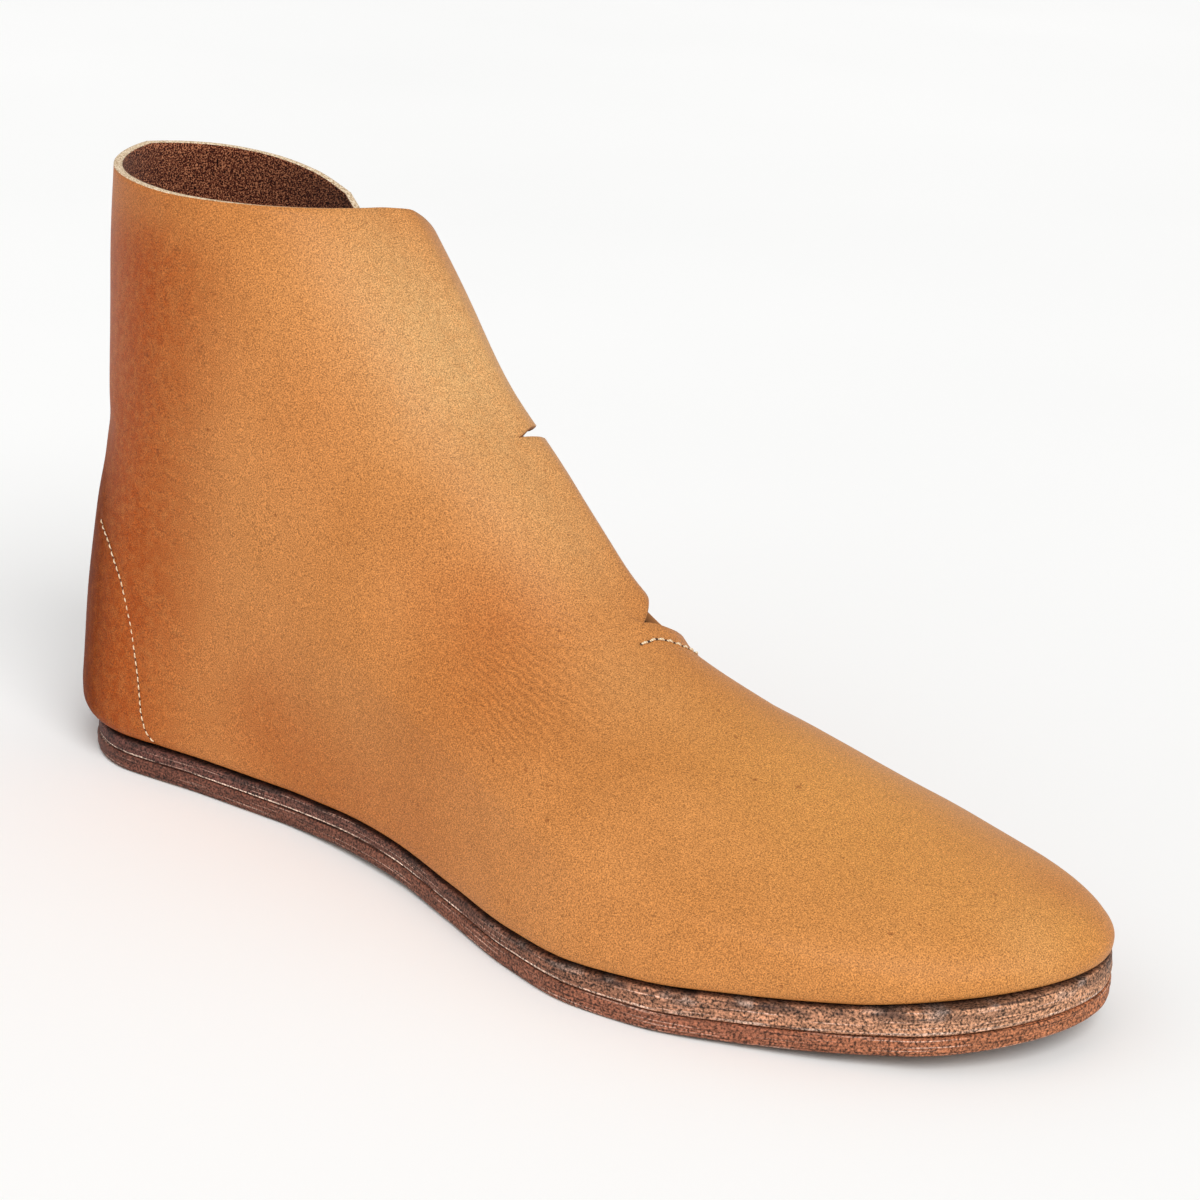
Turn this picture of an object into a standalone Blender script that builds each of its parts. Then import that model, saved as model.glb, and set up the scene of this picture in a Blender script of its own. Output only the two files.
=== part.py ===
"""Right ankle boot with a one-piece wrapped leather upper on a two-layer leather sole.

The outer quarter runs on as a flap over the front of the ankle. A slit parts the flap into two tabs, and a
short leather thong ties each tab to the inner quarter. Metres, +X to the toe, +Y to the inner side of the
foot, +Z up. The shape is worked out from the back of the heel at floor level, and an empty centres the
pieces over the origin.
"""

from collections import namedtuple
import math

import bmesh
import bpy
import numpy as np

# Sole sizes
SOLE_LENGTH = 0.2945
LAYER = 0.006
SOLE_TOP = 2 * LAYER
GROUND_LAYER = 0.0047
GAP = 0.0003
HEEL_ROUND = 0.0305
TOE_ROUND = 0.026
TOE_SPRING = 0.0070
SPRING_START = 0.2000
ARCH_LIFT = 0.0012
ARCH_START = 0.075
ARCH_END = 0.155
SOLE_STATIONS = 36

# Upper sizes
WALL = 0.0022
INSTEP_BLEND_LOW = 0.016
INSTEP_BLEND_HIGH = 0.054
SHAFT_HALF_WIDTH = 0.034
SHAFT_ROUND = 0.0445
SHAFT_BLEND_LOW = 0.045
SHAFT_BLEND_HIGH = 0.115
SETTLE_FADE = 0.070
SIDE_COLUMNS = 32
LOW_ROWS = 13
LOW_ROW_POWER = 1.6
LOWER_TAB_ROWS = 5
UPPER_TAB_ROWS = 6
SHARP_EDGE = math.radians(40)

# Flap sizes, where "around" runs from 0 at the heel over 1 at the front to 2 at the heel again
FLAP_CLEAR = 0.0006
FLAP_START = 1.0
FLAP_FULL = 35 / 32
FLAP_END = 1.43
FLAP_COLUMNS = 12
TAB_CORNER = 0.045
QUARTER_START = 35 / 32
SLIT_HEIGHT = 0.1041
SLIT_DROP = 0.0055
SLIT_DROP_END = 0.30
SLIT_START_GAP = 0.0012
SLIT_SPREAD = 0.010

# Thong sizes
THONG_RADIUS = 0.0012
THONG_CLEAR = 0.0004
THONG_ON_TAB = 0.035
THONG_ON_QUARTER = 0.075
THONG_POINTS = 9

LATERAL = -1
MEDIAL = 1

# Half-widths on each side of the line from heel centre to toe tip, at the sole's edge and at the height of
# the instep, and the sole's thickness, which the tables of heights below take as two layers of equal height
Section = namedtuple("Section", "x lateral medial lateral_instep medial_instep thickness")
SECTIONS = (
    Section(0.0000, 0.0317, 0.0325, 0.0320, 0.0325, 0.0084),
    Section(0.0300, 0.0328, 0.0325, 0.0328, 0.0325, 0.0084),
    Section(0.0550, 0.0315, 0.0310, 0.0329, 0.0320, 0.0084),
    Section(0.0800, 0.0314, 0.0275, 0.0348, 0.0310, 0.0083),
    Section(0.1000, 0.0337, 0.0255, 0.0375, 0.0305, 0.0081),
    Section(0.1250, 0.0393, 0.0260, 0.0421, 0.0310, 0.0081),
    Section(0.1500, 0.0483, 0.0300, 0.0473, 0.0330, 0.0082),
    Section(0.1750, 0.0587, 0.0360, 0.0544, 0.0365, 0.0086),
    Section(0.1970, 0.0638, 0.0400, 0.0591, 0.0395, 0.0093),
    Section(0.2140, 0.0626, 0.0415, 0.0588, 0.0405, 0.0100),
    Section(0.2340, 0.0564, 0.0402, 0.0546, 0.0392, 0.0105),
    Section(0.2540, 0.0486, 0.0362, 0.0478, 0.0357, 0.0108),
    Section(0.2720, 0.0399, 0.0328, 0.0398, 0.0328, 0.0110),
    Section(0.2945, 0.0308, 0.0281, 0.0301, 0.0278, 0.0110),
)

# Level sections of the last: where each ends at back and front, how far its sides tuck in from the sole's
# edge, and the length over which the front rounds off to the ridge
Level = namedtuple("Level", "z back front tuck nose")
LEVELS = (
    Level(SOLE_TOP + GAP, 0.0018, 0.2905, 0.0030, 0.032),
    Level(0.0140, -0.0034, 0.2947, -0.0001, 0.034),
    Level(0.0180, -0.0057, 0.2948, -0.0008, 0.037),
    Level(0.0250, -0.0053, 0.2866, -0.0006, 0.046),
    Level(0.0340, -0.0051, 0.2607, 0.0003, 0.072),
    Level(0.0440, -0.0046, 0.2280, 0.0010, 0.094),
    Level(0.0560, -0.0034, 0.1889, 0.0015, 0.100),
    Level(0.0700, -0.0016, 0.1620, 0.0020, 0.098),
    Level(0.0820, 0.0010, 0.1495, 0.0020, 0.092),
    Level(0.0940, 0.0017, 0.1373, 0.0020, 0.082),
    Level(0.1100, 0.0016, 0.1189, 0.0010, 0.067),
    Level(0.1300, 0.0016, 0.1020, 0.0000, 0.052),
    Level(0.1580, 0.0030, 0.0792, 0.0000, 0.042),
)

# Heights of the upper's cut lines around the boot
Cut = namedtuple("Cut", "around z")
THROAT_LINE = (
    Cut(0.00, 0.0680), Cut(0.50, 0.0670), Cut(0.90, 0.0669), Cut(1.00, 0.0669), Cut(1.03, 0.0663),
    Cut(1.107, 0.0630), Cut(1.20, 0.0590), Cut(1.40, 0.0600), Cut(2.00, 0.0680),
)
FLAP_FOOT = (Cut(0.90, 0.0669), Cut(1.00, 0.0670), Cut(1.107, 0.0688), Cut(1.25, 0.0690), Cut(1.45, 0.0700))
OUTER_COLLAR = (
    Cut(0.00, 0.1597), Cut(0.25, 0.1572), Cut(0.50, 0.1560), Cut(0.85, 0.1554), Cut(1.00, 0.1547),
    Cut(1.07, 0.1524), Cut(1.12, 0.1499), Cut(1.20, 0.1447), Cut(1.30, 0.1382), Cut(1.45, 0.1310),
)
INNER_COLLAR = (Cut(1.50, 0.1488), Cut(1.57, 0.1532), Cut(1.67, 0.1564), Cut(1.80, 0.1584), Cut(2.00, 0.1597))

# Front edge of the inner quarter, from the throat to the collar
Edge = namedtuple("Edge", "rise around")
QUARTER_EDGE = (
    Edge(0.00, QUARTER_START), Edge(0.20, 1.210), Edge(0.45, 1.320),
    Edge(0.65, 1.385), Edge(0.85, 1.445), Edge(1.00, 1.500),
)

# Side profiles of the flat pieces: height above the floor and inset from the sole's outline
Step = namedtuple("Step", "z inset")
OUTSOLE_SIDE = (Step(0.0, 0.0012), Step(0.0010, 0.0), Step(0.0050, 0.0), Step(LAYER - GAP / 2, 0.0008))
MIDSOLE_SIDE = (
    Step(LAYER + GAP / 2, 0.0010), Step(0.0070, 0.0002), Step(0.0110, 0.0004), Step(SOLE_TOP, 0.0014),
)
INSOLE_SIDE = (Step(SOLE_TOP + GAP, 0.0088), Step(0.0138, 0.0084), Step(0.0153, 0.0064))

COLOURS = {
    "outsole": (0.26, 0.11, 0.055),
    "midsole": (0.20, 0.085, 0.045),
    "insole": (0.36, 0.19, 0.09),
    "upper": (0.60, 0.27, 0.085),
    "thong": (0.045, 0.020, 0.012),
}
ROUGHNESS = {"outsole": 0.75, "midsole": 0.75, "insole": 0.85, "upper": 0.50, "thong": 0.65}


def smooth_step(t):
    t = np.clip(t, 0.0, 1.0)
    return t * t * (3 - 2 * t)


def table_curve(value, table, name):
    """Smooth curve through a table's named column, read at a value of its first column, with no overshoot."""
    xs = np.array([row[0] for row in table], float)
    ys = np.array([getattr(row, name) for row in table], float)
    steps = np.diff(xs)
    slopes = np.diff(ys) / steps
    before, after = slopes[:-1], slopes[1:]
    total = before + after
    same_way = before * after > 0
    mean = 2 * before * after / np.where(total == 0, 1, total)
    ends = np.concatenate([slopes[:1], np.where(same_way, mean, 0), slopes[-1:]])
    value = np.clip(value, xs[0], xs[-1])
    i = np.clip(np.searchsorted(xs, value) - 1, 0, len(steps) - 1)
    t = (value - xs[i]) / steps[i]
    start = (1 + 2 * t) * (1 - t) ** 2 * ys[i] + t * (1 - t) ** 2 * steps[i] * ends[i]
    end = t * t * (3 - 2 * t) * ys[i + 1] + t * t * (t - 1) * steps[i] * ends[i + 1]
    return start + end


def round_end(distance, length):
    """Quarter-ellipse factor, 0 at an end and 1 once the distance from it reaches the length."""
    t = np.clip(distance / length, 0.0, 1.0)
    return np.sqrt(1 - (1 - t) ** 2)


def sole_lift(x):
    """Height that toe spring and arch add to the sole at x."""
    toe = (x - SPRING_START) / (SOLE_LENGTH - SPRING_START)
    arch = np.clip((x - ARCH_START) / (ARCH_END - ARCH_START), 0.0, 1.0)
    return TOE_SPRING * np.clip(toe, 0.0, None) ** 2 + ARCH_LIFT * np.sin(math.pi * arch) ** 2


def stack_height(x, z):
    """Height at x of a level in or on the sole: an even ground layer and a second that varies."""
    second_layer = table_curve(x, SECTIONS, "thickness") - GROUND_LAYER
    ground = np.minimum(z, LAYER) * GROUND_LAYER / LAYER
    second = np.clip(z - LAYER, 0.0, LAYER) * second_layer / LAYER
    return ground + second + np.maximum(z - SOLE_TOP, 0.0) + sole_lift(x)


def sole_half_width(side, x):
    return table_curve(x, SECTIONS, "lateral" if side == LATERAL else "medial")


def foot_half_width(side, x, z):
    """Half-width of the foot at a height, before its ends are rounded off."""
    instep = table_curve(x, SECTIONS, "lateral_instep" if side == LATERAL else "medial_instep")
    rise = smooth_step((z - INSTEP_BLEND_LOW) / (INSTEP_BLEND_HIGH - INSTEP_BLEND_LOW))
    sole = sole_half_width(side, x)
    return sole + (instep - sole) * rise - table_curve(z, LEVELS, "tuck")


def sole_point(side, along, z, inset):
    """Point of the sole's outline, drawn in by the inset; along runs from 0 at the heel to 1 at the toe."""
    x = inset + (SOLE_LENGTH - 2 * inset) * (1 - math.cos(math.pi * along)) / 2
    width = sole_half_width(side, x) - inset
    width *= round_end(x - inset, HEEL_ROUND) * round_end(SOLE_LENGTH - inset - x, TOE_ROUND)
    return np.array([x, side * width, stack_height(x, z)])


def last_point(around, z):
    """Point of the upper's outer face on the last, before the flap stands off it."""
    side = LATERAL if around <= 1 else MEDIAL
    along = around if around <= 1 else 2 - around
    back = table_curve(z, LEVELS, "back")
    front = table_curve(z, LEVELS, "front")
    x = back + (front - back) * (1 - math.cos(math.pi * along)) / 2
    shaft = smooth_step((z - SHAFT_BLEND_LOW) / (SHAFT_BLEND_HIGH - SHAFT_BLEND_LOW))
    foot = foot_half_width(side, x, z)
    width = foot + (SHAFT_HALF_WIDTH - foot) * shaft
    heel = HEEL_ROUND + (SHAFT_ROUND - HEEL_ROUND) * shaft
    width *= round_end(x - back, heel) * round_end(front - x, table_curve(z, LEVELS, "nose"))
    settle = stack_height(x, SOLE_TOP) - SOLE_TOP
    fade = 1 - smooth_step((z - SOLE_TOP) / SETTLE_FADE)
    return np.array([x, side * width, z + settle * fade])


def last_normal(around, z):
    """Outward normal of the last, from small steps around and up."""
    step_around = 0.004
    step_z = 0.0005
    along = last_point(around + step_around, z) - last_point(around - step_around, z)
    up = last_point(around, z + step_z) - last_point(around, z - step_z)
    normal = np.cross(along, up)
    return normal / np.linalg.norm(normal)


def off_last(around, z, distance):
    return last_point(around, z) + distance * last_normal(around, z)


def flap_point(around, z):
    """Point of the outer quarter and its flap, which stands clear of the inner quarter past the front."""
    if around <= FLAP_START:
        return last_point(around, z)
    rise = smooth_step((around - FLAP_START) / (FLAP_FULL - FLAP_START))
    return off_last(around, z, (WALL + FLAP_CLEAR) * rise)


def low_height(row, around):
    """Height of a grid row between the sole and the throat line."""
    part = (row / LOW_ROWS) ** LOW_ROW_POWER
    foot = LEVELS[0].z
    return foot + part * (table_curve(around, THROAT_LINE, "z") - foot)


def tab_height(row, around):
    """Height of a grid row between the flap's foot and the outer collar, parted by the slit."""
    past_front = max(around - 1, 0)
    middle = SLIT_HEIGHT - SLIT_DROP * smooth_step(past_front / SLIT_DROP_END)
    half_gap = (SLIT_START_GAP + SLIT_SPREAD * past_front) / 2
    if row <= LOWER_TAB_ROWS:
        line = THROAT_LINE if around <= FLAP_START else FLAP_FOOT
        low, high = table_curve(around, line, "z"), middle - half_gap
        part = row / LOWER_TAB_ROWS
    else:
        low, high = middle + half_gap, table_curve(around, OUTER_COLLAR, "z")
        part = (row - LOWER_TAB_ROWS - 1) / UPPER_TAB_ROWS
    return low + part * (high - low)


def tab_reach(row, column):
    """How far around a flap column lies, spaced evenly from the flap's start to its tab's round end."""
    if row <= LOWER_TAB_ROWS:
        across = 2 * row / LOWER_TAB_ROWS - 1
    else:
        across = 2 * (row - LOWER_TAB_ROWS - 1) / UPPER_TAB_ROWS - 1
    end = FLAP_END - TAB_CORNER * across ** 4
    return FLAP_START + (end - FLAP_START) * column / FLAP_COLUMNS


def quarter_place(row, around):
    """Place of an inner-quarter grid point, whose column leans back with the quarter's front edge."""
    foot = tab_height(0, 0.0)
    rise = (tab_height(row, 0.0) - foot) / (tab_height(LOWER_TAB_ROWS + UPPER_TAB_ROWS + 1, 0.0) - foot)
    edge = table_curve(rise, QUARTER_EDGE, "around")
    place = edge + (2 - edge) * (around - QUARTER_START) / (2 - QUARTER_START)
    low = table_curve(place, THROAT_LINE, "z")
    return place, low + rise * (table_curve(place, INNER_COLLAR, "z") - low)


def upper_surface():
    """Outer face of the whole upper as one sheet of grid faces."""
    bm = bmesh.new()
    ring = [i / SIDE_COLUMNS for i in range(2 * SIDE_COLUMNS)]
    start = round(FLAP_START * SIDE_COLUMNS)
    quarter = round(QUARTER_START * SIDE_COLUMNS)
    rows = LOWER_TAB_ROWS + UPPER_TAB_ROWS + 2

    def strip(lower, upper, closed=False):
        count = len(lower) if closed else len(lower) - 1
        for i in range(count):
            j = (i + 1) % len(lower)
            bm.faces.new((lower[i], lower[j], upper[j], upper[i]))

    low = [[bm.verts.new(last_point(q, low_height(r, q))) for q in ring] for r in range(LOW_ROWS + 1)]
    for lower, upper in zip(low, low[1:]):
        strip(lower, upper, closed=True)

    outer = [low[-1][:start + 1]]
    inner = [low[-1][quarter:] + low[-1][:1]]
    outer[0] = outer[0] + [
        bm.verts.new(flap_point(q, tab_height(0, q)))
        for q in (tab_reach(0, c) for c in range(1, FLAP_COLUMNS + 1))
    ]
    for row in range(1, rows):
        side = [bm.verts.new(last_point(q, tab_height(row, q))) for q in ring[:start + 1]]
        reach = [tab_reach(row, c) for c in range(1, FLAP_COLUMNS + 1)]
        outer.append(side + [bm.verts.new(flap_point(q, tab_height(row, q))) for q in reach])
        places = [quarter_place(row, q) for q in ring[quarter:]]
        inner.append([bm.verts.new(last_point(q, z)) for q, z in places] + side[:1])
    for row in range(1, rows):
        uncut = start + 2 if row == LOWER_TAB_ROWS + 1 else None
        strip(outer[row - 1][:uncut], outer[row][:uncut])
        strip(inner[row - 1], inner[row])
    return bm


def layer_solid(profile):
    """Flat piece on the sole's outline, built up ring by ring and closed by strips across."""
    bm = bmesh.new()
    inside = [i / SOLE_STATIONS for i in range(1, SOLE_STATIONS)]
    rings = []
    for step in profile:
        heel = bm.verts.new(sole_point(LATERAL, 0.0, *step))
        toe = bm.verts.new(sole_point(LATERAL, 1.0, *step))
        outer = [bm.verts.new(sole_point(LATERAL, a, *step)) for a in inside]
        inner = [bm.verts.new(sole_point(MEDIAL, a, *step)) for a in inside]
        rings.append(([heel] + outer + [toe], [heel] + inner + [toe]))
    for lower, upper in zip(rings, rings[1:]):
        for i in range(SOLE_STATIONS):
            bm.faces.new((lower[0][i], lower[0][i + 1], upper[0][i + 1], upper[0][i]))
            bm.faces.new((lower[1][i + 1], lower[1][i], upper[1][i], upper[1][i + 1]))
    for (outer, inner), up in ((rings[0], False), (rings[-1], True)):
        for i in range(SOLE_STATIONS):
            corners = [outer[i], outer[i + 1], inner[i + 1], inner[i]]
            corners = [v for n, v in enumerate(corners) if v not in corners[:n]]
            bm.faces.new(corners if up else corners[::-1])
    return bm


def material(name):
    made = bpy.data.materials.new(name)
    made.use_nodes = True
    shader = made.node_tree.nodes["Principled BSDF"]
    shader.inputs["Base Color"].default_value = (*COLOURS[name], 1.0)
    shader.inputs["Roughness"].default_value = ROUGHNESS[name]
    shader.inputs["Metallic"].default_value = 0.0
    return made


def place(name, data, finish, parent):
    piece = bpy.data.objects.new(name, data)
    bpy.context.scene.collection.objects.link(piece)
    data.materials.append(finish)
    piece.parent = parent
    return piece


def mesh_piece(name, bm, finish, parent):
    mesh = bpy.data.meshes.new(name)
    bm.to_mesh(mesh)
    bm.free()
    mesh.shade_smooth()
    mesh.set_sharp_from_angle(angle=SHARP_EDGE)
    return place(name, mesh, finish, parent)


def thong_tie(name, low_row, high_row, finish, parent):
    """Short bar of thong that lies over the end of a tab, from the tab to the inner quarter."""
    z = (tab_height(low_row, FLAP_END) + tab_height(high_row, FLAP_END)) / 2
    curve = bpy.data.curves.new(name, "CURVE")
    curve.dimensions = "3D"
    curve.bevel_depth = THONG_RADIUS
    curve.bevel_resolution = 2
    curve.use_fill_caps = True
    spline = curve.splines.new("POLY")
    spline.points.add(THONG_POINTS - 1)
    for i, point in enumerate(spline.points):
        t = i / (THONG_POINTS - 1)
        around = FLAP_END - THONG_ON_TAB + t * (THONG_ON_TAB + THONG_ON_QUARTER)
        past_edge = smooth_step((around - FLAP_END) / THONG_ON_QUARTER)
        height = THONG_RADIUS + THONG_CLEAR + (WALL + FLAP_CLEAR) * (1 - past_edge)
        point.co = (*off_last(around, z, height), 1.0)
    return place(name, curve, finish, parent)


def main():
    for old in list(bpy.data.objects):
        bpy.data.objects.remove(old)
    finishes = {name: material(name) for name in COLOURS}
    boot = bpy.data.objects.new("boot", None)
    bpy.context.scene.collection.objects.link(boot)

    soles = {"outsole": OUTSOLE_SIDE, "midsole": MIDSOLE_SIDE, "insole": INSOLE_SIDE}
    for name, profile in soles.items():
        mesh_piece(name, layer_solid(profile), finishes[name], boot)
    upper = mesh_piece("upper", upper_surface(), finishes["upper"], boot)
    wall = upper.modifiers.new("wall", "SOLIDIFY")
    wall.thickness = WALL
    wall.offset = -1
    wall.use_even_offset = True
    wall.use_quality_normals = True
    thong_tie("lace_lower", 0, LOWER_TAB_ROWS, finishes["thong"], boot)
    last_row = LOWER_TAB_ROWS + UPPER_TAB_ROWS + 1
    thong_tie("lace_upper", LOWER_TAB_ROWS + 1, last_row, finishes["thong"], boot)

    corners = np.array([v.co for piece in boot.children if piece.type == "MESH" for v in piece.data.vertices])
    centre = (corners.min(axis=0) + corners.max(axis=0)) / 2
    boot.location = (-centre[0], -centre[1], 0.0)
    bpy.context.view_layer.update()


main()
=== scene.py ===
# %% [markdown]
# # One right ankle boot of wrapped leather
# The frame holds plain solids of the boot: two sole layers, an insole, a hollow upper and two short thongs.
# They have the right size and place, but bare faces. In this lesson each of them gets the surface that the
# real one has: waxed leather, a suede inside, pale cut edges, sewn rows and a layered sole. All sizes are
# in metres.

# %% Load the frame
import math
from collections import namedtuple

import bpy
import numpy as np
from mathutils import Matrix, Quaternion, Vector, noise


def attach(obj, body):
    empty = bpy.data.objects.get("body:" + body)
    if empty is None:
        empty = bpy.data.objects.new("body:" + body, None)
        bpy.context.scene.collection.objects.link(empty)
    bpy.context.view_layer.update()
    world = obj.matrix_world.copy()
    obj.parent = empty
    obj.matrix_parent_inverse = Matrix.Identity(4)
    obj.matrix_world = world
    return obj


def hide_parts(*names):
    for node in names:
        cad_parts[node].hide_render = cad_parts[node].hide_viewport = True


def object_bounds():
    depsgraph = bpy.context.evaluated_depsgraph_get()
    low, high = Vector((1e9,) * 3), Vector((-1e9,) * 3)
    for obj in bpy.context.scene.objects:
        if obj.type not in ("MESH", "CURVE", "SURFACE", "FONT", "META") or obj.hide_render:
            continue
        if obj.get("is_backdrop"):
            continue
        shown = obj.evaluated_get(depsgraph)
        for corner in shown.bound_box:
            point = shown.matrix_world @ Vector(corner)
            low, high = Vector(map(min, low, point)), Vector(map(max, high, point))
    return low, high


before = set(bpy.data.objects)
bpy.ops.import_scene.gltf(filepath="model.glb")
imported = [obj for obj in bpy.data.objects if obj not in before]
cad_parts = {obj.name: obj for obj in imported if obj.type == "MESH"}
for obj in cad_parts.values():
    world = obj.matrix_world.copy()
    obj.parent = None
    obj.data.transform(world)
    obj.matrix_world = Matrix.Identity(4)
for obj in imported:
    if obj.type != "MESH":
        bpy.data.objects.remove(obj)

MM = 0.001
cad_box = [list(corner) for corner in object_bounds()]
heel_back = min((v.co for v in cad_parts["outsole"].data.vertices), key=lambda co: co.x)
HEEL = np.array((heel_back.x, heel_back.y, 0.0))
print("frame nodes:", ", ".join(sorted(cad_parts)))
print("back of the heel at", np.round(HEEL / MM, 1), "mm")

# %% [markdown]
# ## The camera
# The boot is seen from its outer front, a little above the instep. Moving a camera changes perspective,
# while a longer lens only crops, so the camera stands where the picture was taken, turns to the middle of
# this one boot, rolls a little to keep the boot's lean, and a long lens fills the frame with it.

# %% Camera
CAMERA_PLACE = Vector(HEEL) + Vector((0.5101, -0.5225, 0.2820))
CAMERA_AIM = Vector(HEEL) + Vector((0.1636, -0.0128, 0.0756))
CAMERA_ROLL = math.radians(3.6)
LENS_MM = 82.8

scene = bpy.context.scene
camera = bpy.data.objects.new("camera", bpy.data.cameras.new("camera"))
scene.collection.objects.link(camera)
camera.data.lens = LENS_MM
camera.location = CAMERA_PLACE
look = (CAMERA_AIM - CAMERA_PLACE).to_track_quat("-Z", "Y")
camera.rotation_euler = (look @ Quaternion((0.0, 0.0, 1.0), CAMERA_ROLL)).to_euler()
scene.camera = camera
print("camera", round((CAMERA_AIM - CAMERA_PLACE).length, 3), "m from the boot's middle")

# %% [markdown]
# ## The shape of the last
# A shoemaker stretches leather over a last, a wooden foot. Such a form could be sculpted, but a sculpted
# mesh would drift away from the solid. Here the last is a set of level sections, each with its ends and
# widths in a short table, and a smooth curve through each column. The solids of the frame were cut from the
# same tables, so a finer grid from them lies exactly where the solid is. Everything works on whole arrays.

# %% Tables of the last
Section = namedtuple("Section", "x lateral medial lateral_instep medial_instep thickness")
SECTIONS = (
    Section(0.0000, 0.0317, 0.0325, 0.0320, 0.0325, 0.0084),
    Section(0.0300, 0.0328, 0.0325, 0.0328, 0.0325, 0.0084),
    Section(0.0550, 0.0315, 0.0310, 0.0329, 0.0320, 0.0084),
    Section(0.0800, 0.0314, 0.0275, 0.0348, 0.0310, 0.0083),
    Section(0.1000, 0.0337, 0.0255, 0.0375, 0.0305, 0.0081),
    Section(0.1250, 0.0393, 0.0260, 0.0421, 0.0310, 0.0081),
    Section(0.1500, 0.0483, 0.0300, 0.0473, 0.0330, 0.0082),
    Section(0.1750, 0.0587, 0.0360, 0.0544, 0.0365, 0.0086),
    Section(0.1970, 0.0638, 0.0400, 0.0591, 0.0395, 0.0093),
    Section(0.2140, 0.0626, 0.0415, 0.0588, 0.0405, 0.0100),
    Section(0.2340, 0.0564, 0.0402, 0.0546, 0.0392, 0.0105),
    Section(0.2540, 0.0486, 0.0362, 0.0478, 0.0357, 0.0108),
    Section(0.2720, 0.0399, 0.0328, 0.0398, 0.0328, 0.0110),
    Section(0.2945, 0.0308, 0.0281, 0.0301, 0.0278, 0.0110),
)
Level = namedtuple("Level", "z back front tuck nose")
LEVELS = (
    Level(0.0123, 0.0018, 0.2905, 0.0030, 0.032),
    Level(0.0140, -0.0034, 0.2947, -0.0001, 0.034),
    Level(0.0180, -0.0057, 0.2948, -0.0008, 0.037),
    Level(0.0250, -0.0053, 0.2866, -0.0006, 0.046),
    Level(0.0340, -0.0051, 0.2607, 0.0003, 0.072),
    Level(0.0440, -0.0046, 0.2280, 0.0010, 0.094),
    Level(0.0560, -0.0034, 0.1889, 0.0015, 0.100),
    Level(0.0700, -0.0016, 0.1620, 0.0020, 0.098),
    Level(0.0820, 0.0010, 0.1495, 0.0020, 0.092),
    Level(0.0940, 0.0017, 0.1373, 0.0020, 0.082),
    Level(0.1100, 0.0016, 0.1189, 0.0010, 0.067),
    Level(0.1300, 0.0016, 0.1020, 0.0000, 0.052),
    Level(0.1580, 0.0030, 0.0792, 0.0000, 0.042),
)
ball = max(SECTIONS, key=lambda row: row.lateral)
print("ball width", round((ball.lateral + ball.medial) / MM, 1), "mm")

# %% Curves through the tables
def smooth_step(t):
    t = np.clip(t, 0.0, 1.0)
    return t * t * (3 - 2 * t)


def table_curve(value, table, name):
    """Smooth curve through a table's named column, read at a value of its first column, with no overshoot."""
    xs = np.array([row[0] for row in table], float)
    ys = np.array([getattr(row, name) for row in table], float)
    steps = np.diff(xs)
    slopes = np.diff(ys) / steps
    before, after = slopes[:-1], slopes[1:]
    total = before + after
    mean = 2 * before * after / np.where(total == 0, 1, total)
    ends = np.concatenate([slopes[:1], np.where(before * after > 0, mean, 0), slopes[-1:]])
    value = np.clip(value, xs[0], xs[-1])
    i = np.clip(np.searchsorted(xs, value) - 1, 0, len(steps) - 1)
    t = (value - xs[i]) / steps[i]
    start = (1 + 2 * t) * (1 - t) ** 2 * ys[i] + t * (1 - t) ** 2 * steps[i] * ends[i]
    end = t * t * (3 - 2 * t) * ys[i + 1] + t * t * (t - 1) * steps[i] * ends[i + 1]
    return start + end


halfway = table_curve(ball.x / 2, SECTIONS, "lateral")
print("outer half-width halfway to the ball:", round(float(halfway) / MM, 1), "mm")

# %% [markdown]
# ## Points on the last
# The sole's outline comes straight from the table, and its layers rise a little at the arch and the toe. A
# place on the upper is given by how far around it lies, from 0 at the heel over 1 at the front to 2 at the
# heel again, and by its height. The outer side comes first. Widths blend from the sole's outline to the
# instep and on to the round shaft, and quarter ellipses close the heel and the front. A loft through drawn
# curves would look much the same, but a place in two numbers also serves the seams, creases and tints later
# on.

# %% Points of the sole
SOLE_LENGTH = 0.2945
LAYER = 0.006
SOLE_TOP = 2 * LAYER
GROUND_LAYER = 0.0047
HEEL_ROUND = 0.0305
TOE_ROUND = 0.026
TOE_SPRING = 0.0070
SPRING_START = 0.2000
ARCH_LIFT = 0.0012
ARCH_START = 0.075
ARCH_END = 0.155


def round_end(distance, length):
    t = np.clip(distance / length, 0.0, 1.0)
    return np.sqrt(1 - (1 - t) ** 2)


def sole_lift(x):
    toe = (x - SPRING_START) / (SOLE_LENGTH - SPRING_START)
    arch = np.clip((x - ARCH_START) / (ARCH_END - ARCH_START), 0.0, 1.0)
    return TOE_SPRING * np.clip(toe, 0.0, None) ** 2 + ARCH_LIFT * np.sin(math.pi * arch) ** 2


def stack_height(x, z):
    """Height at x of a level in or on the sole: an even ground layer and a second that varies."""
    second_layer = table_curve(x, SECTIONS, "thickness") - GROUND_LAYER
    ground = np.minimum(z, LAYER) * GROUND_LAYER / LAYER
    second = np.clip(z - LAYER, 0.0, LAYER) * second_layer / LAYER
    return ground + second + np.maximum(z - SOLE_TOP, 0.0) + sole_lift(x)


def sole_point(side, along, z, inset):
    """Point of the sole's outline, drawn in by the inset; along runs from 0 at the heel to 1 at the toe."""
    x = inset + (SOLE_LENGTH - 2 * inset) * (1 - np.cos(math.pi * along)) / 2
    width = table_curve(x, SECTIONS, side) - inset
    width = width * round_end(x - inset, HEEL_ROUND) * round_end(SOLE_LENGTH - inset - x, TOE_ROUND)
    return np.stack([x, -width if side == "lateral" else width, stack_height(x, z)], axis=-1)


print("sole at the ball is", round(float(stack_height(ball.x, SOLE_TOP)) / MM, 1), "mm high")

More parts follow.
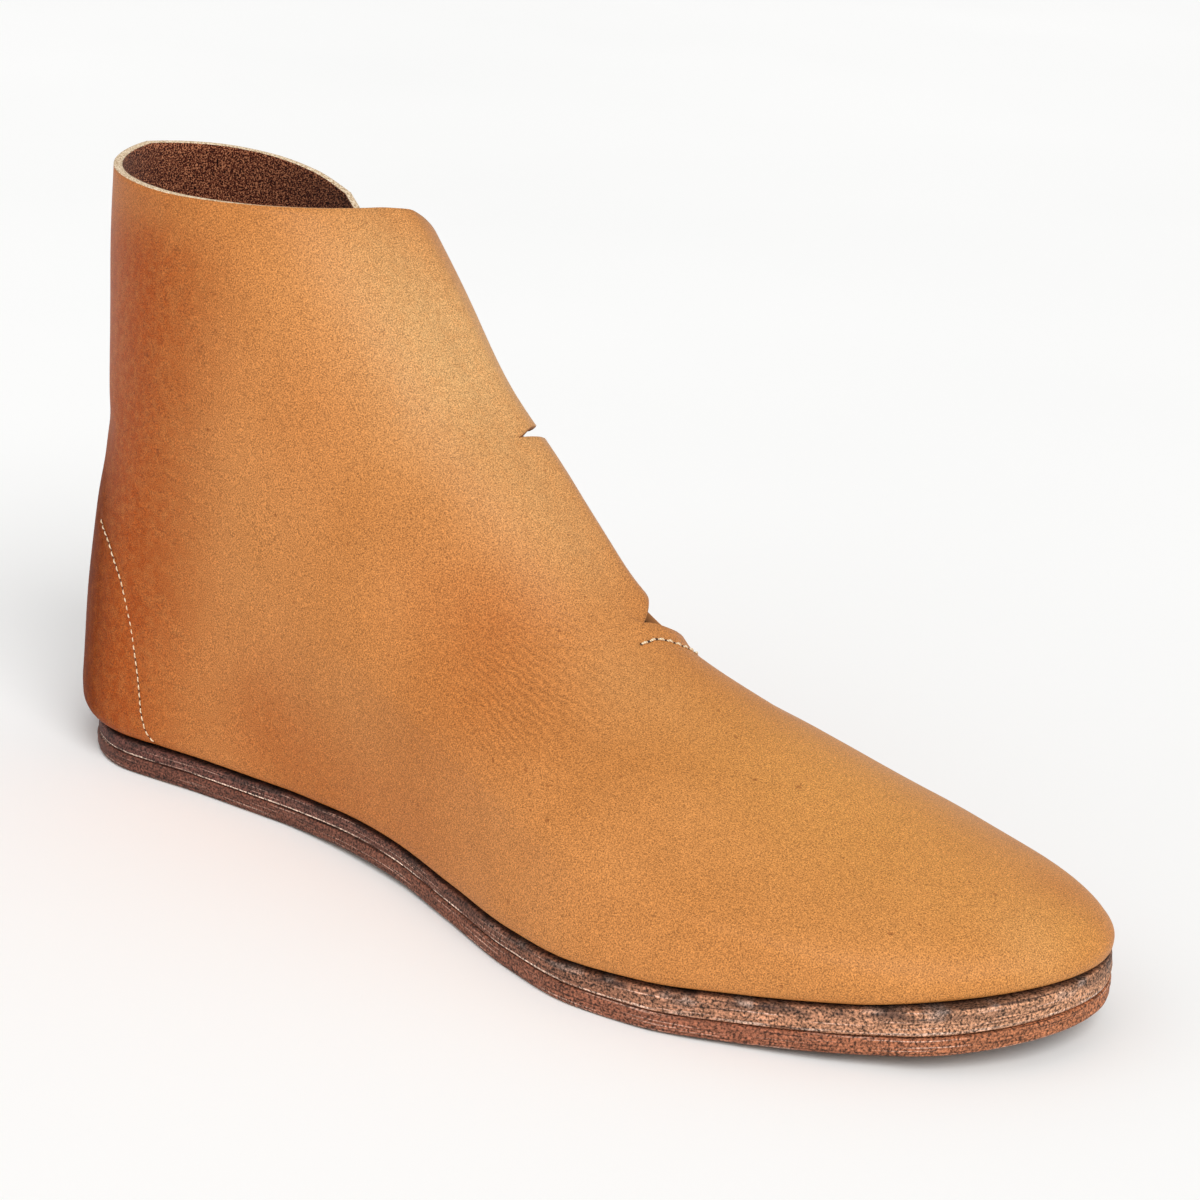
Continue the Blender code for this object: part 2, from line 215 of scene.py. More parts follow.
# %% Points of the upper
INSTEP_BLEND_LOW = 0.016
INSTEP_BLEND_HIGH = 0.054
SHAFT_HALF_WIDTH = 0.034
SHAFT_ROUND = 0.0445
SHAFT_BLEND_LOW = 0.045
SHAFT_BLEND_HIGH = 0.115
SETTLE_FADE = 0.070
LEVEL_EASE = 0.005
EASE_WEIGHTS = ((-1.0, 0.11), (-0.5, 0.23), (0.0, 0.32), (0.5, 0.23), (1.0, 0.11))
EASE_AT_FOOT = 0.7


def level_curve(z, name):
    """A column of the levels, eased over a few millimetres so that no level leaves a ridge."""
    reach = np.minimum(LEVEL_EASE, EASE_AT_FOOT * np.clip(z - LEVELS[0].z, 0.0, None))
    return sum(weight * table_curve(z + step * reach, LEVELS, name) for step, weight in EASE_WEIGHTS)


def foot_half_width(side, x, z):
    sole = table_curve(x, SECTIONS, side)
    instep = table_curve(x, SECTIONS, side + "_instep")
    rise = smooth_step((z - INSTEP_BLEND_LOW) / (INSTEP_BLEND_HIGH - INSTEP_BLEND_LOW))
    return sole + (instep - sole) * rise - level_curve(z, "tuck")


def last_point(around, z):
    around, z = np.broadcast_arrays(np.mod(around, 2.0), np.asarray(z, float))
    outer = around <= 1
    along = np.where(outer, around, 2 - around)
    back = level_curve(z, "back")
    front = level_curve(z, "front")
    x = back + (front - back) * (1 - np.cos(math.pi * along)) / 2
    shaft = smooth_step((z - SHAFT_BLEND_LOW) / (SHAFT_BLEND_HIGH - SHAFT_BLEND_LOW))
    foot = np.where(outer, foot_half_width("lateral", x, z), foot_half_width("medial", x, z))
    width = foot + (SHAFT_HALF_WIDTH - foot) * shaft
    heel = HEEL_ROUND + (SHAFT_ROUND - HEEL_ROUND) * shaft
    width = width * round_end(x - back, heel) * round_end(front - x, level_curve(z, "nose"))
    settle = stack_height(x, SOLE_TOP) - SOLE_TOP
    fade = 1 - smooth_step((z - SOLE_TOP) / SETTLE_FADE)
    return np.stack([x, np.where(outer, -width, width), z + settle * fade], axis=-1)


def last_normal(around, z):
    step_around = 0.004
    step_z = 0.0005
    along = last_point(around + step_around, z) - last_point(around - step_around, z)
    up = last_point(around, z + step_z) - last_point(around, z - step_z)
    normal = np.cross(along, up)
    return normal / np.linalg.norm(normal, axis=-1, keepdims=True)


print("front of the collar at", np.round(last_point(1.0, LEVELS[-1].z) / MM, 1), "mm from the heel")

# %% [markdown]
# ## The cut of the upper
# The upper is one hide: the vamp covers the toes, and the outer quarter runs on as a flap over the front of
# the ankle, where a slit parts it into two tabs. Such a sheet could be modelled by hand or cut out with
# booleans. Rows and columns of places are clearer, because each cut line is then a row of the grid and
# stays crisp.

# %% Cut lines of the upper
FINE = 4
WALL = 0.0022
SIDE_COLUMNS = 32 * FINE
LOW_ROWS = 64
LOW_ROW_POWER = 1.3
LOWER_TAB_ROWS = 6 * FINE
UPPER_TAB_ROWS = 7 * FINE
FLAP_CLEAR = 0.0006
FLAP_START = 1.0
FLAP_FULL = 35 / 32
FLAP_END = 1.43
FLAP_COLUMNS = 12 * FINE
TAB_CORNER = 0.045
QUARTER_START = 35 / 32
SLIT_HEIGHT = 0.1041
SLIT_DROP = 0.0055
SLIT_DROP_END = 0.30
SLIT_START_GAP = 0.0012
SLIT_SPREAD = 0.010
SLIT_POINT = 0.02
SLIT_TAPER = 0.07
SLIT_FINEST = 0.12

Cut = namedtuple("Cut", "around z")
THROAT_LINE = (
    Cut(0.00, 0.0680), Cut(0.50, 0.0670), Cut(0.90, 0.0669), Cut(1.00, 0.0669), Cut(1.03, 0.0663),
    Cut(1.107, 0.0630), Cut(1.20, 0.0590), Cut(1.40, 0.0600), Cut(2.00, 0.0680),
)
FLAP_FOOT = (Cut(0.90, 0.0669), Cut(1.00, 0.0670), Cut(1.107, 0.0688), Cut(1.25, 0.0690), Cut(1.45, 0.0700))
OUTER_COLLAR = (
    Cut(0.00, 0.1597), Cut(0.25, 0.1572), Cut(0.50, 0.1560), Cut(0.85, 0.1554), Cut(1.00, 0.1547),
    Cut(1.07, 0.1524), Cut(1.12, 0.1499), Cut(1.20, 0.1447), Cut(1.30, 0.1382), Cut(1.45, 0.1310),
)
INNER_COLLAR = (Cut(1.50, 0.1488), Cut(1.57, 0.1532), Cut(1.67, 0.1564), Cut(1.80, 0.1584), Cut(2.00, 0.1597))
Edge = namedtuple("Edge", "rise around")
QUARTER_EDGE = (
    Edge(0.00, QUARTER_START), Edge(0.20, 1.210), Edge(0.45, 1.320),
    Edge(0.65, 1.385), Edge(0.85, 1.445), Edge(1.00, 1.500),
)
LAST_ROW = LOWER_TAB_ROWS + UPPER_TAB_ROWS + 1
print("rows of the upper:", LOW_ROWS, "below the throat,", LAST_ROW, "above it")

# %% Rows of the upper
def tab_height(row, around):
    """Height of a grid row between the flap's foot and the outer collar, parted by the slit."""
    past_front = np.clip(around - 1, 0, None)
    middle = SLIT_HEIGHT - SLIT_DROP * smooth_step(past_front / SLIT_DROP_END)
    taper = np.clip(smooth_step((past_front - SLIT_POINT) / SLIT_TAPER), SLIT_FINEST, 1.0)
    half_gap = taper * (SLIT_START_GAP + SLIT_SPREAD * past_front) / 2
    if row <= LOWER_TAB_ROWS:
        foot = table_curve(around, FLAP_FOOT, "z")
        low = np.where(around <= FLAP_START, table_curve(around, THROAT_LINE, "z"), foot)
        return low + (middle - half_gap - low) * row / LOWER_TAB_ROWS
    low = middle + half_gap
    return low + (table_curve(around, OUTER_COLLAR, "z") - low) * (row - LOWER_TAB_ROWS - 1) / UPPER_TAB_ROWS


def flap_columns(row):
    """How far around the flap's columns lie, up to the round-cornered end of its tab."""
    lower = row <= LOWER_TAB_ROWS
    across = row / LOWER_TAB_ROWS if lower else (row - LOWER_TAB_ROWS - 1) / UPPER_TAB_ROWS
    end = FLAP_END - TAB_CORNER * (2 * across - 1) ** 4
    return FLAP_START + (end - FLAP_START) * np.arange(1, FLAP_COLUMNS + 1) / FLAP_COLUMNS


def quarter_row(row, around):
    """Places of an inner-quarter row, whose columns lean back with the quarter's front edge."""
    foot = tab_height(0, 0.0)
    rise = (tab_height(row, 0.0) - foot) / (tab_height(LAST_ROW, 0.0) - foot)
    edge = table_curve(rise, QUARTER_EDGE, "around")
    place = edge + (2 - edge) * (around - QUARTER_START) / (2 - QUARTER_START)
    low = table_curve(place, THROAT_LINE, "z")
    return place, low + rise * (table_curve(place, INNER_COLLAR, "z") - low)


print("collar at the heel is", round(float(tab_height(LAST_ROW, 0.0)) / MM, 1), "mm high")

# %% Sheet of the upper
ring = np.arange(2 * SIDE_COLUMNS) / SIDE_COLUMNS
flap_first = round(FLAP_START * SIDE_COLUMNS)
quarter_first = round(QUARTER_START * SIDE_COLUMNS)
grid_around = []
grid_z = []
sheet_faces = []


def add_row(around, z):
    first = sum(len(row) for row in grid_around)
    grid_around.append(np.asarray(around, float))
    grid_z.append(np.broadcast_to(z, np.shape(around)))
    return list(range(first, first + len(around)))


def add_strip(lower, upper):
    for i in range(len(lower) - 1):
        sheet_faces.append((lower[i], lower[i + 1], upper[i + 1], upper[i]))


low_rows = []
foot = LEVELS[0].z
for row in range(LOW_ROWS + 1):
    heights = foot + (row / LOW_ROWS) ** LOW_ROW_POWER * (table_curve(ring, THROAT_LINE, "z") - foot)
    low_rows.append(add_row(ring, heights))
for lower, upper in zip(low_rows, low_rows[1:]):
    add_strip(lower + lower[:1], upper + upper[:1])

outer_row = low_rows[-1][:flap_first + 1]
inner_row = low_rows[-1][quarter_first:] + low_rows[-1][:1]
flap_vertices = add_row(flap_columns(0), tab_height(0, flap_columns(0)))
outer_row = outer_row + flap_vertices
for row in range(1, LAST_ROW + 1):
    side = add_row(ring[:flap_first + 1], tab_height(row, ring[:flap_first + 1]))
    flap = add_row(flap_columns(row), tab_height(row, flap_columns(row)))
    inner = add_row(*quarter_row(row, ring[quarter_first:]))
    flap_vertices = flap_vertices + flap
    uncut = flap_first + FINE + 1 if row == LOWER_TAB_ROWS + 1 else None
    add_strip(outer_row[:uncut], (side + flap)[:uncut])
    add_strip(inner_row, inner + side[:1])
    outer_row = side + flap
    inner_row = inner + side[:1]
around_all = np.concatenate(grid_around)
z_all = np.concatenate(grid_z)
print("upper's sheet:", len(around_all), "points,", len(sheet_faces), "faces")

# %% [markdown]
# ## Creases and soft dents
# Leather that has been lasted and handled is never quite smooth. The main creases are listed one by one: each
# is a line between two places on the upper with a width and a depth, and every point near the line sinks by
# a soft bell curve. Sculpting could do the same, but numbers can be read, checked and changed.

# %% Listed creases
Crease = namedtuple("Crease", "around_a z_a around_b z_b width depth")
CREASES = (
    Crease(0.900, 0.0640, 0.740, 0.0690, 0.0090, 0.0007),
    Crease(0.745, 0.0589, 0.800, 0.0529, 0.0026, 0.0003),
    Crease(0.693, 0.0560, 0.760, 0.0512, 0.0026, 0.0003),
    Crease(0.647, 0.0595, 0.700, 0.0571, 0.0026, 0.0002),
    Crease(0.278, 0.0300, 0.262, 0.0170, 0.0024, 0.0003),
    Crease(0.060, 0.0960, 0.200, 0.0900, 0.0050, 0.0004),
    Crease(1.250, 0.0520, 1.180, 0.0480, 0.0040, 0.0004),
    Crease(1.300, 0.0560, 1.240, 0.0450, 0.0030, 0.0003),
)
Seam = namedtuple("Seam", "z around")
HEEL_SEAM = (
    Seam(0.0141, 0.246), Seam(0.0171, 0.243), Seam(0.0225, 0.241), Seam(0.0349, 0.245), Seam(0.0433, 0.249),
    Seam(0.0515, 0.250), Seam(0.0605, 0.232), Seam(0.0659, 0.191),
)
SEAM_PULL = 0.00025
SEAM_PULL_WIDTH = 0.0022
LIP_RISE = 0.0014
LIP_WIDTH = 0.0026
DENT_DEPTH = 0.00035
DENT_SIZE = 0.030
SEAM_POINTS = 60
LIP_FROM = 1.0
LIP_TO = 1.24
LIP_POINTS = 30
DENT_START = 0.016
DENT_FADE = 0.020


def nearness(points, line, width):
    """Bell curve of each point's distance to a line of points: 1 on the line, fading over the width."""
    gaps = [np.sum((points - place) ** 2, axis=1) for place in line]
    return np.exp(-np.min(gaps, axis=0) / width ** 2)


def surface_line(around_a, z_a, around_b, z_b, count=16):
    t = np.linspace(0, 1, count)
    return last_point(around_a + (around_b - around_a) * t, z_a + (z_b - z_a) * t)


print(len(CREASES), "creases, the deepest", round(max(crease.depth for crease in CREASES) / MM, 2), "mm")

# %% Relief of the sheet
flap_rise = np.zeros(len(around_all))
flap_rise[flap_vertices] = smooth_step((around_all[flap_vertices] - FLAP_START) / (FLAP_FULL - FLAP_START))
bare = last_point(around_all, z_all)
normals = last_normal(around_all, z_all)
sheet = bare + normals * ((WALL + FLAP_CLEAR) * flap_rise)[:, None]
relief = np.zeros(len(sheet))
for crease in CREASES:
    relief -= crease.depth * nearness(bare, surface_line(*crease[:4]), crease.width)
heel_seam_heights = np.linspace(HEEL_SEAM[0].z, HEEL_SEAM[-1].z, SEAM_POINTS)
heel_seam_around = table_curve(heel_seam_heights, HEEL_SEAM, "around")
for seam_side in (heel_seam_around, 2 - heel_seam_around):
    relief -= SEAM_PULL * nearness(bare, last_point(seam_side, heel_seam_heights), SEAM_PULL_WIDTH)
vamp_points = low_rows[-1][-1] + 1
lip_around = np.linspace(LIP_FROM, LIP_TO, LIP_POINTS)
lip = last_point(lip_around, table_curve(lip_around, THROAT_LINE, "z"))
relief[:vamp_points] += LIP_RISE * nearness(bare[:vamp_points], lip, LIP_WIDTH)
dents = np.array([noise.noise(Vector(place / DENT_SIZE)) for place in bare])
relief += DENT_DEPTH * dents * smooth_step((z_all - DENT_START) / DENT_FADE)
sheet = sheet + normals * relief[:, None]
print("relief from", round(relief.min() / MM, 2), "to", round(relief.max() / MM, 2), "mm")

# %% [markdown]
# ## From a sheet to a leather wall
# Solidify could thicken the sheet, and a bevel could break its sharp rims. Here the wall is built directly:
# an inner copy one leather thickness below, and between the two a half-round rim along every cut edge. The
# three kinds of face get their own material: grain side, flesh side and cut edge.

# %% Wall with rounded cut edges
RIM_STEPS = 4
RIM_BULGE = 0.0003


def unit(vectors):
    return vectors / np.maximum(np.linalg.norm(vectors, axis=-1, keepdims=True), 1e-12)


def leather_wall(points, faces, thickness):
    """Vertices and faces of a closed wall: outer side first, then inner side, then the rounded rims."""
    corners = np.array(faces)
    diagonal = points[corners[:, 2]] - points[corners[:, 0]]
    other_diagonal = points[corners[:, 3]] - points[corners[:, 1]]
    face_normals = np.cross(diagonal, other_diagonal)
    vertex_normals = np.zeros_like(points)
    for column in range(4):
        np.add.at(vertex_normals, corners[:, column], face_normals)
    vertex_normals = unit(vertex_normals)
    halves = {}
    for index, face in enumerate(faces):
        for a, b in zip(face, face[1:] + face[:1]):
            halves[(a, b)] = index
    rims = [(a, b, index) for (a, b), index in halves.items() if (b, a) not in halves]
    outward = np.zeros_like(points)
    for a, b, index in rims:
        out = unit(np.cross(points[b] - points[a], face_normals[index]))
        outward[a] += out
        outward[b] += out
    outward = unit(outward)
    count = len(points)
    rim_vertices = sorted({v for a, b, index in rims for v in (a, b)})
    place = {v: i for i, v in enumerate(rim_vertices)}
    rings = [points, points - thickness * vertex_normals]
    for step in range(1, RIM_STEPS):
        turn = math.pi * step / RIM_STEPS
        depth = thickness * (1 - math.cos(turn)) / 2
        ring_points = points[rim_vertices] - depth * vertex_normals[rim_vertices]
        rings.append(ring_points + RIM_BULGE * math.sin(turn) * outward[rim_vertices])
    all_faces = list(faces) + [tuple(v + count for v in face[::-1]) for face in faces]

    def rim_vertex(v, step):
        if step == 0:
            return v
        if step == RIM_STEPS:
            return v + count
        return 2 * count + (step - 1) * len(rim_vertices) + place[v]

    for a, b, index in rims:
        for step in range(RIM_STEPS):
            places = ((b, step), (a, step), (a, step + 1), (b, step + 1))
            all_faces.append(tuple(rim_vertex(v, level) for v, level in places))
    return np.vstack(rings), all_faces


wall_points, wall_faces = leather_wall(sheet, sheet_faces, WALL)
print("wall of", len(wall_faces), "faces,", len(wall_faces) - 2 * len(sheet_faces), "of them on its rims")

# %% The upper
GRAIN_SIDE, FLESH_SIDE, CUT_EDGE = range(3)


def make_piece(name, points, faces, node=None):
    """A smooth mesh in the frame that rides on the boot and may stand for a node, whose solid is then hidden.
    """
    mesh = bpy.data.meshes.new(name)
    mesh.from_pydata((points + HEEL).tolist(), [], faces)
    mesh.validate()
    mesh.shade_smooth()
    piece = bpy.data.objects.new(name, mesh)
    scene.collection.objects.link(piece)
    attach(piece, "root")
    if node:
        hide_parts(node)
    print(name, "has", sum(len(p.vertices) - 2 for p in mesh.polygons), "triangles")
    return piece


upper = make_piece("wrapped_upper", wall_points, wall_faces, "upper")
side_faces = len(sheet_faces)
kinds = np.full(len(wall_faces), CUT_EDGE)
kinds[:side_faces] = GRAIN_SIDE
kinds[side_faces:2 * side_faces] = FLESH_SIDE
upper.data.polygons.foreach_set("material_index", kinds)

# %% [markdown]
# ## Tools for materials
# Pages of nodes are easier to read when one small function adds any node with its settings and its links.
# Colours are written as the sRGB hex values that a picture shows and turned to the linear values that light
# is reckoned in.

# %% Colour and node helpers
FACTOR, COLOUR_A, COLOUR_B = 0, 6, 7
SHADE = {"data_type": "RGBA", "blend_type": "MULTIPLY", FACTOR: 1.0}
# The output that is used of a node, where it is not the first.
MAIN_OUTPUT = {"TexCoord": "Object", "TexWave": "Fac", "Attribute": "Fac", "Mix": 2}


def linear(hex_colour):
    parts = [int(hex_colour[i:i + 2], 16) / 255 for i in (0, 2, 4)]
    return tuple(c / 12.92 if c <= 0.04045 else ((c + 0.055) / 1.055) ** 2.4 for c in parts) + (1.0,)


def add_node(material, kind, settings=(), links=(), stops=(), output=None):
    """Add a node and return its output; settings are properties or socket values, links feed its inputs."""
    node = material.node_tree.nodes.new("ShaderNode" + kind)
    for name, value in dict(settings).items():
        if isinstance(name, str) and hasattr(node, name):
            setattr(node, name, value)
        else:
            node.inputs[name].default_value = value
    for name, source in dict(links).items():
        material.node_tree.links.new(source, node.inputs[name])
    for index, (position, hex_colour) in enumerate(stops):
        ramp = node.color_ramp.elements
        element = ramp[index] if index < len(ramp) else ramp.new(position)
        element.position = position
        element.color = linear(hex_colour)
    return node.outputs[output or MAIN_OUTPUT.get(kind, 0)]


def new_material(name):
    material = bpy.data.materials.new(name)
    material.use_nodes = True
    return material


def mottled(name, size_mm, settings, stops):
    """A new material with its places, a noise of a real size over them, and the colours of the noise."""
    material = new_material(name)
    place = add_node(material, "TexCoord")
    spots = add_node(material, "TexNoise", {"Scale": 1 / (size_mm * MM), **settings}, {"Vector": place})
    return material, place, spots, add_node(material, "ValToRGB", links={"Fac": spots}, stops=stops)


def dress(material, inputs):
    """Give the shader's own sockets their numbers, or a link where the value is another node's output."""
    shader = material.node_tree.nodes["Principled BSDF"]
    for name, value in inputs.items():
        if isinstance(value, bpy.types.NodeSocket):
            material.node_tree.links.new(value, shader.inputs[name])
        else:
            shader.inputs[name].default_value = value


def paint(piece, name, values):
    """Store a number at each vertex, for shaders to read."""
    attribute = piece.data.attributes.new(name, "FLOAT", "POINT")
    attribute.data.foreach_set("value", np.asarray(values, np.float32))


print("tan leather in linear light:", np.round(linear("d18b4e"), 3))

# %% [markdown]
# ## Where the leather is burnished, and where light and shade are painted
# Vegetable-tanned leather darkens where it is rubbed and waxed: round the heel, down the back and low along
# the waist. Such tints could be brushed on in vertex paint mode. Here they are worked out from places on
# the last and stored at the vertices, so each patch can be read and moved, and it follows the boot and not
# the camera. Other values mark painted light and shade: the back, painted darkest as painted shade; the
# front of the ankle, painted paler, partly a lighter tone and partly a painted highlight of its soft sheen;
# and the vamp and toe, painted paler as painted light where they face up to the window. One more value
# marks the instep, where walking breaks the grain into fine wrinkles.

# %% Patches of burnish, of pale leather with a painted highlight, and of painted light
Patch = namedtuple("Patch", "around z size strength")
BURNISHED = (
    Patch(0.740, 0.058, 0.022, 0.26), Patch(0.770, 0.070, 0.013, 0.22), Patch(0.600, 0.048, 0.020, 0.10),
    Patch(0.520, 0.125, 0.024, 0.04), Patch(0.590, 0.104, 0.026, 0.06), Patch(0.970, 0.012, 0.010, 0.25),
    Patch(1.050, 0.027, 0.008, 0.20), Patch(1.035, 0.019, 0.006, 0.15), Patch(1.260, 0.058, 0.022, 0.26),
    Patch(0.060, 0.050, 0.030, 0.30), Patch(0.700, 0.074, 0.016, 0.16), Patch(0.620, 0.108, 0.020, 0.08),
    Patch(0.375, 0.034, 0.019, 0.34),
)
# Pale patches are partly a paler tone and partly a painted highlight: the soft sheen down the front of the
# ankle, and a spot of light low on the toe.
PALE = (
    Patch(0.930, 0.146, 0.016, 0.40), Patch(0.945, 0.130, 0.020, 0.48), Patch(0.955, 0.112, 0.020, 0.48),
    Patch(0.970, 0.094, 0.018, 0.45), Patch(0.985, 0.080, 0.015, 0.35), Patch(1.060, 0.125, 0.022, 0.40),
    Patch(0.930, 0.023, 0.011, 0.45), Patch(0.885, 0.060, 0.016, 0.25), Patch(1.250, 0.105, 0.026, 0.30),
)
# These patches paint the vamp and toe paler: painted light on parts that face up to the window.
LIT_FOREFOOT = (
    Patch(0.900, 0.040, 0.034, 0.30), Patch(1.000, 0.050, 0.030, 0.35), Patch(0.950, 0.030, 0.030, 0.35),
    Patch(0.985, 0.022, 0.012, 0.40), Patch(1.100, 0.040, 0.034, 0.35),
)


def patches(table):
    total = np.zeros(len(bare))
    for patch in table:
        total += patch.strength * nearness(bare, [last_point(patch.around, patch.z)], patch.size)
    return total


print("patches:", len(BURNISHED), "burnished,", len(PALE), "pale,", len(LIT_FOREFOOT), "waxed")

# %% Tints of the heel and the waist, and painted shade at the back
HEEL_TINT_END = 0.072
HEEL_TINT_LENGTH = 0.046
HEEL_TINT_LOW = -0.006
HEEL_TINT_LOW_TOP = 0.055
HEEL_TINT_HIGH = 0.005
HEEL_TINT_HIGH_FOOT = 0.090
TINT_FADE = 0.030
COLLAR_CLEAN = 0.55
COLLAR_CLEAN_FOOT = 0.138
COLLAR_CLEAN_FADE = 0.016
INNER_TINT = 0.70
INNER_TINT_END = 1.85
# How far forward and how high the back is painted darker, as painted shade.
SHADED_BACK = 0.030
SHADED_BACK_LENGTH = 0.022
SHADED_BACK_TOP = 0.105
SHADED_BACK_FADE = 0.040
WAIST_MIDDLE = 0.105
WAIST_LENGTH = 0.050
WAIST_TOP = 0.045
WAIST_TINT = 0.35

bare_x, bare_z = bare[:, 0], bare[:, 2]
heel_end = HEEL_TINT_END + HEEL_TINT_LOW * smooth_step((HEEL_TINT_LOW_TOP - bare_z) / TINT_FADE)
heel_end += HEEL_TINT_HIGH * smooth_step((bare_z - HEEL_TINT_HIGH_FOOT) / TINT_FADE)
heel_tint = smooth_step((heel_end - bare_x) / HEEL_TINT_LENGTH)
heel_tint *= 1 - COLLAR_CLEAN * smooth_step((bare_z - COLLAR_CLEAN_FOOT) / COLLAR_CLEAN_FADE)
to_heel = smooth_step((around_all - INNER_TINT_END) / (2 - INNER_TINT_END))
heel_tint *= np.where(around_all > 1, INNER_TINT + (1 - INNER_TINT) * to_heel, 1.0)
# The back of the heel is painted darker still: painted shade, where little light reaches.
back_painted_shade = smooth_step((SHADED_BACK - bare_x) / SHADED_BACK_LENGTH)
back_painted_shade *= smooth_step((SHADED_BACK_TOP - bare_z) / SHADED_BACK_FADE)
waist_tint = np.exp(-((bare_x - WAIST_MIDDLE) / WAIST_LENGTH) ** 2)
waist_tint *= smooth_step((WAIST_TOP - bare_z) / TINT_FADE)
print("heel tint covers", round(float(heel_tint.mean()), 2), "of the upper")

# %% Values painted on the upper
FLEX_PLACE = Patch(0.735, 0.0565, 0.020, 1.0)
HANDLED_BELOW = 0.138
HANDLED_FADE = 0.022
HANDLED_FRONT = 0.046
HANDLED_FRONT_FADE = 0.030
HANDLED_FRONT_SHARE = 0.75

burnish = np.clip(heel_tint + WAIST_TINT * waist_tint + patches(BURNISHED), 0, 1)
# The back's value is painted shade, the pale one is partly a painted highlight, and the waxed one is painted
# light on the vamp and toe.
on_sheet = {
    "burnish": burnish,
    "back_painted_shade": back_painted_shade,
    "pale": np.clip(patches(PALE), 0, 1) * (1 - burnish),
    "waxed": np.clip(patches(LIT_FOREFOOT), 0, 1) * (1 - burnish),
    "flex": patches([FLEX_PLACE]),
}
on_rims = np.zeros(len(wall_points) - 2 * len(sheet))
for name, values in on_sheet.items():
    paint(upper, name, np.concatenate([values, values, on_rims]))
    print("mean of", name, round(float(values.mean()), 2))
handled_low = smooth_step((HANDLED_BELOW - wall_points[:, 2]) / HANDLED_FADE)
handled_front = smooth_step((wall_points[:, 0] - HANDLED_FRONT) / HANDLED_FRONT_FADE)
paint(upper, "handled", np.maximum(handled_low, HANDLED_FRONT_SHARE * handled_front))

# %% [markdown]
# ## Waxed vegetable-tanned leather
# The hide is full grain, tanned with bark, dyed tan and rubbed with wax. The eye gets a warm tan with slow
# clouds, a fine pebbled grain with pale tops, a few dark flecks and a soft, wide sheen. A scanned picture
# could give all that, but noises in real sizes have no seams and can be tuned one by one. The grain is both
# bump and a change of colour, because bump alone hardly shows in soft light.

# %% Colours of the grain side
GRAIN_MM = 0.31
CLOUD_MM = 38.0
BLOTCH_MM = 2.4
FLECK_MM = 2.6
# Burnish is the leather's own colour; the back's colour is painted shade, the pale one partly a painted
# highlight and the waxed one painted light.
TINT_AND_LIGHT_COLOURS = {"burnish": "9a460e", "back_painted_shade": "6c2c08", "pale": "c99a64", "waxed": "cc8f48"}

leather, place, clouds, tinted = mottled(
    "vegetable_tanned_leather_waxed", CLOUD_MM, {"Detail": 3.0}, [(0.30, "b6753b"), (0.70, "c28147")]
)
# Rubbing takes in blotches, so a noise breaks the burnish up, and the painted light and shade with it.
blotches = add_node(
    leather, "TexNoise", {"Scale": 1 / (BLOTCH_MM * MM), "Detail": 4.0, "Roughness": 0.65}, {"Vector": place}
)
taken = add_node(leather, "MapRange", {"From Min": 0.3, "From Max": 0.6, "To Min": 0.68}, {"Value": blotches})
for attribute, hex_colour in TINT_AND_LIGHT_COLOURS.items():
    stored = add_node(leather, "Attribute", {"attribute_name": attribute})
    share = add_node(leather, "Math", {"operation": "MULTIPLY"}, {0: stored, 1: taken})
    tint = {"data_type": "RGBA", COLOUR_B: linear(hex_colour)}
    tinted = add_node(leather, "Mix", tint, {FACTOR: share, COLOUR_A: tinted})
# Real pores are about 0.15 mm apart. They are drawn about twice as coarse, so that they show.
grain = add_node(
    leather, "TexNoise", {"Scale": 1 / (GRAIN_MM * MM), "Detail": 1.0, "Roughness": 0.5}, {"Vector": place}
)
# Dye gathers between the pebbles of the grain, and wax lightens their tops.
pebbles = {"From Min": 0.28, "From Max": 0.74, "To Min": 0.53, "To Max": 1.60}
pebble_shade = add_node(leather, "MapRange", pebbles, {"Value": grain})
pebbled = add_node(leather, "Mix", SHADE, {COLOUR_A: tinted, COLOUR_B: pebble_shade})
flecks = add_node(leather, "TexNoise", {"Scale": 1 / (FLECK_MM * MM), "Detail": 1.0}, {"Vector": place})
dark_fleck = add_node(
    leather, "MapRange", {"From Min": 0.755, "From Max": 0.79, "To Max": 0.45}, {"Value": flecks}
)
fleck_tint = {"data_type": "RGBA", COLOUR_B: linear("6e3413")}
speckled = add_node(leather, "Mix", fleck_tint, {FACTOR: dark_fleck, COLOUR_A: pebbled})
print("grain", GRAIN_MM, "mm, clouds", CLOUD_MM, "mm")

# %% Wrinkles of the grain side
WRINKLE_MM = 1.2
WRINKLE_TILT = math.radians(-18)
# A wave texture turns by this many radians over one unit at a scale of 1.
WAVE_RADIANS = 20.0

tilted = add_node(leather, "Mapping", {"Rotation": (0.0, WRINKLE_TILT, 0.0)}, {"Vector": place})
wrinkles = add_node(
    leather, "TexWave",
    {"bands_direction": "Z", "Scale": 2 * math.pi / (WAVE_RADIANS * WRINKLE_MM * MM), "Distortion": 5.0,
     "Detail": 2.0, "Detail Scale": 1.2},
    {"Vector": tilted},
)
flexed = add_node(leather, "Attribute", {"attribute_name": "flex"})
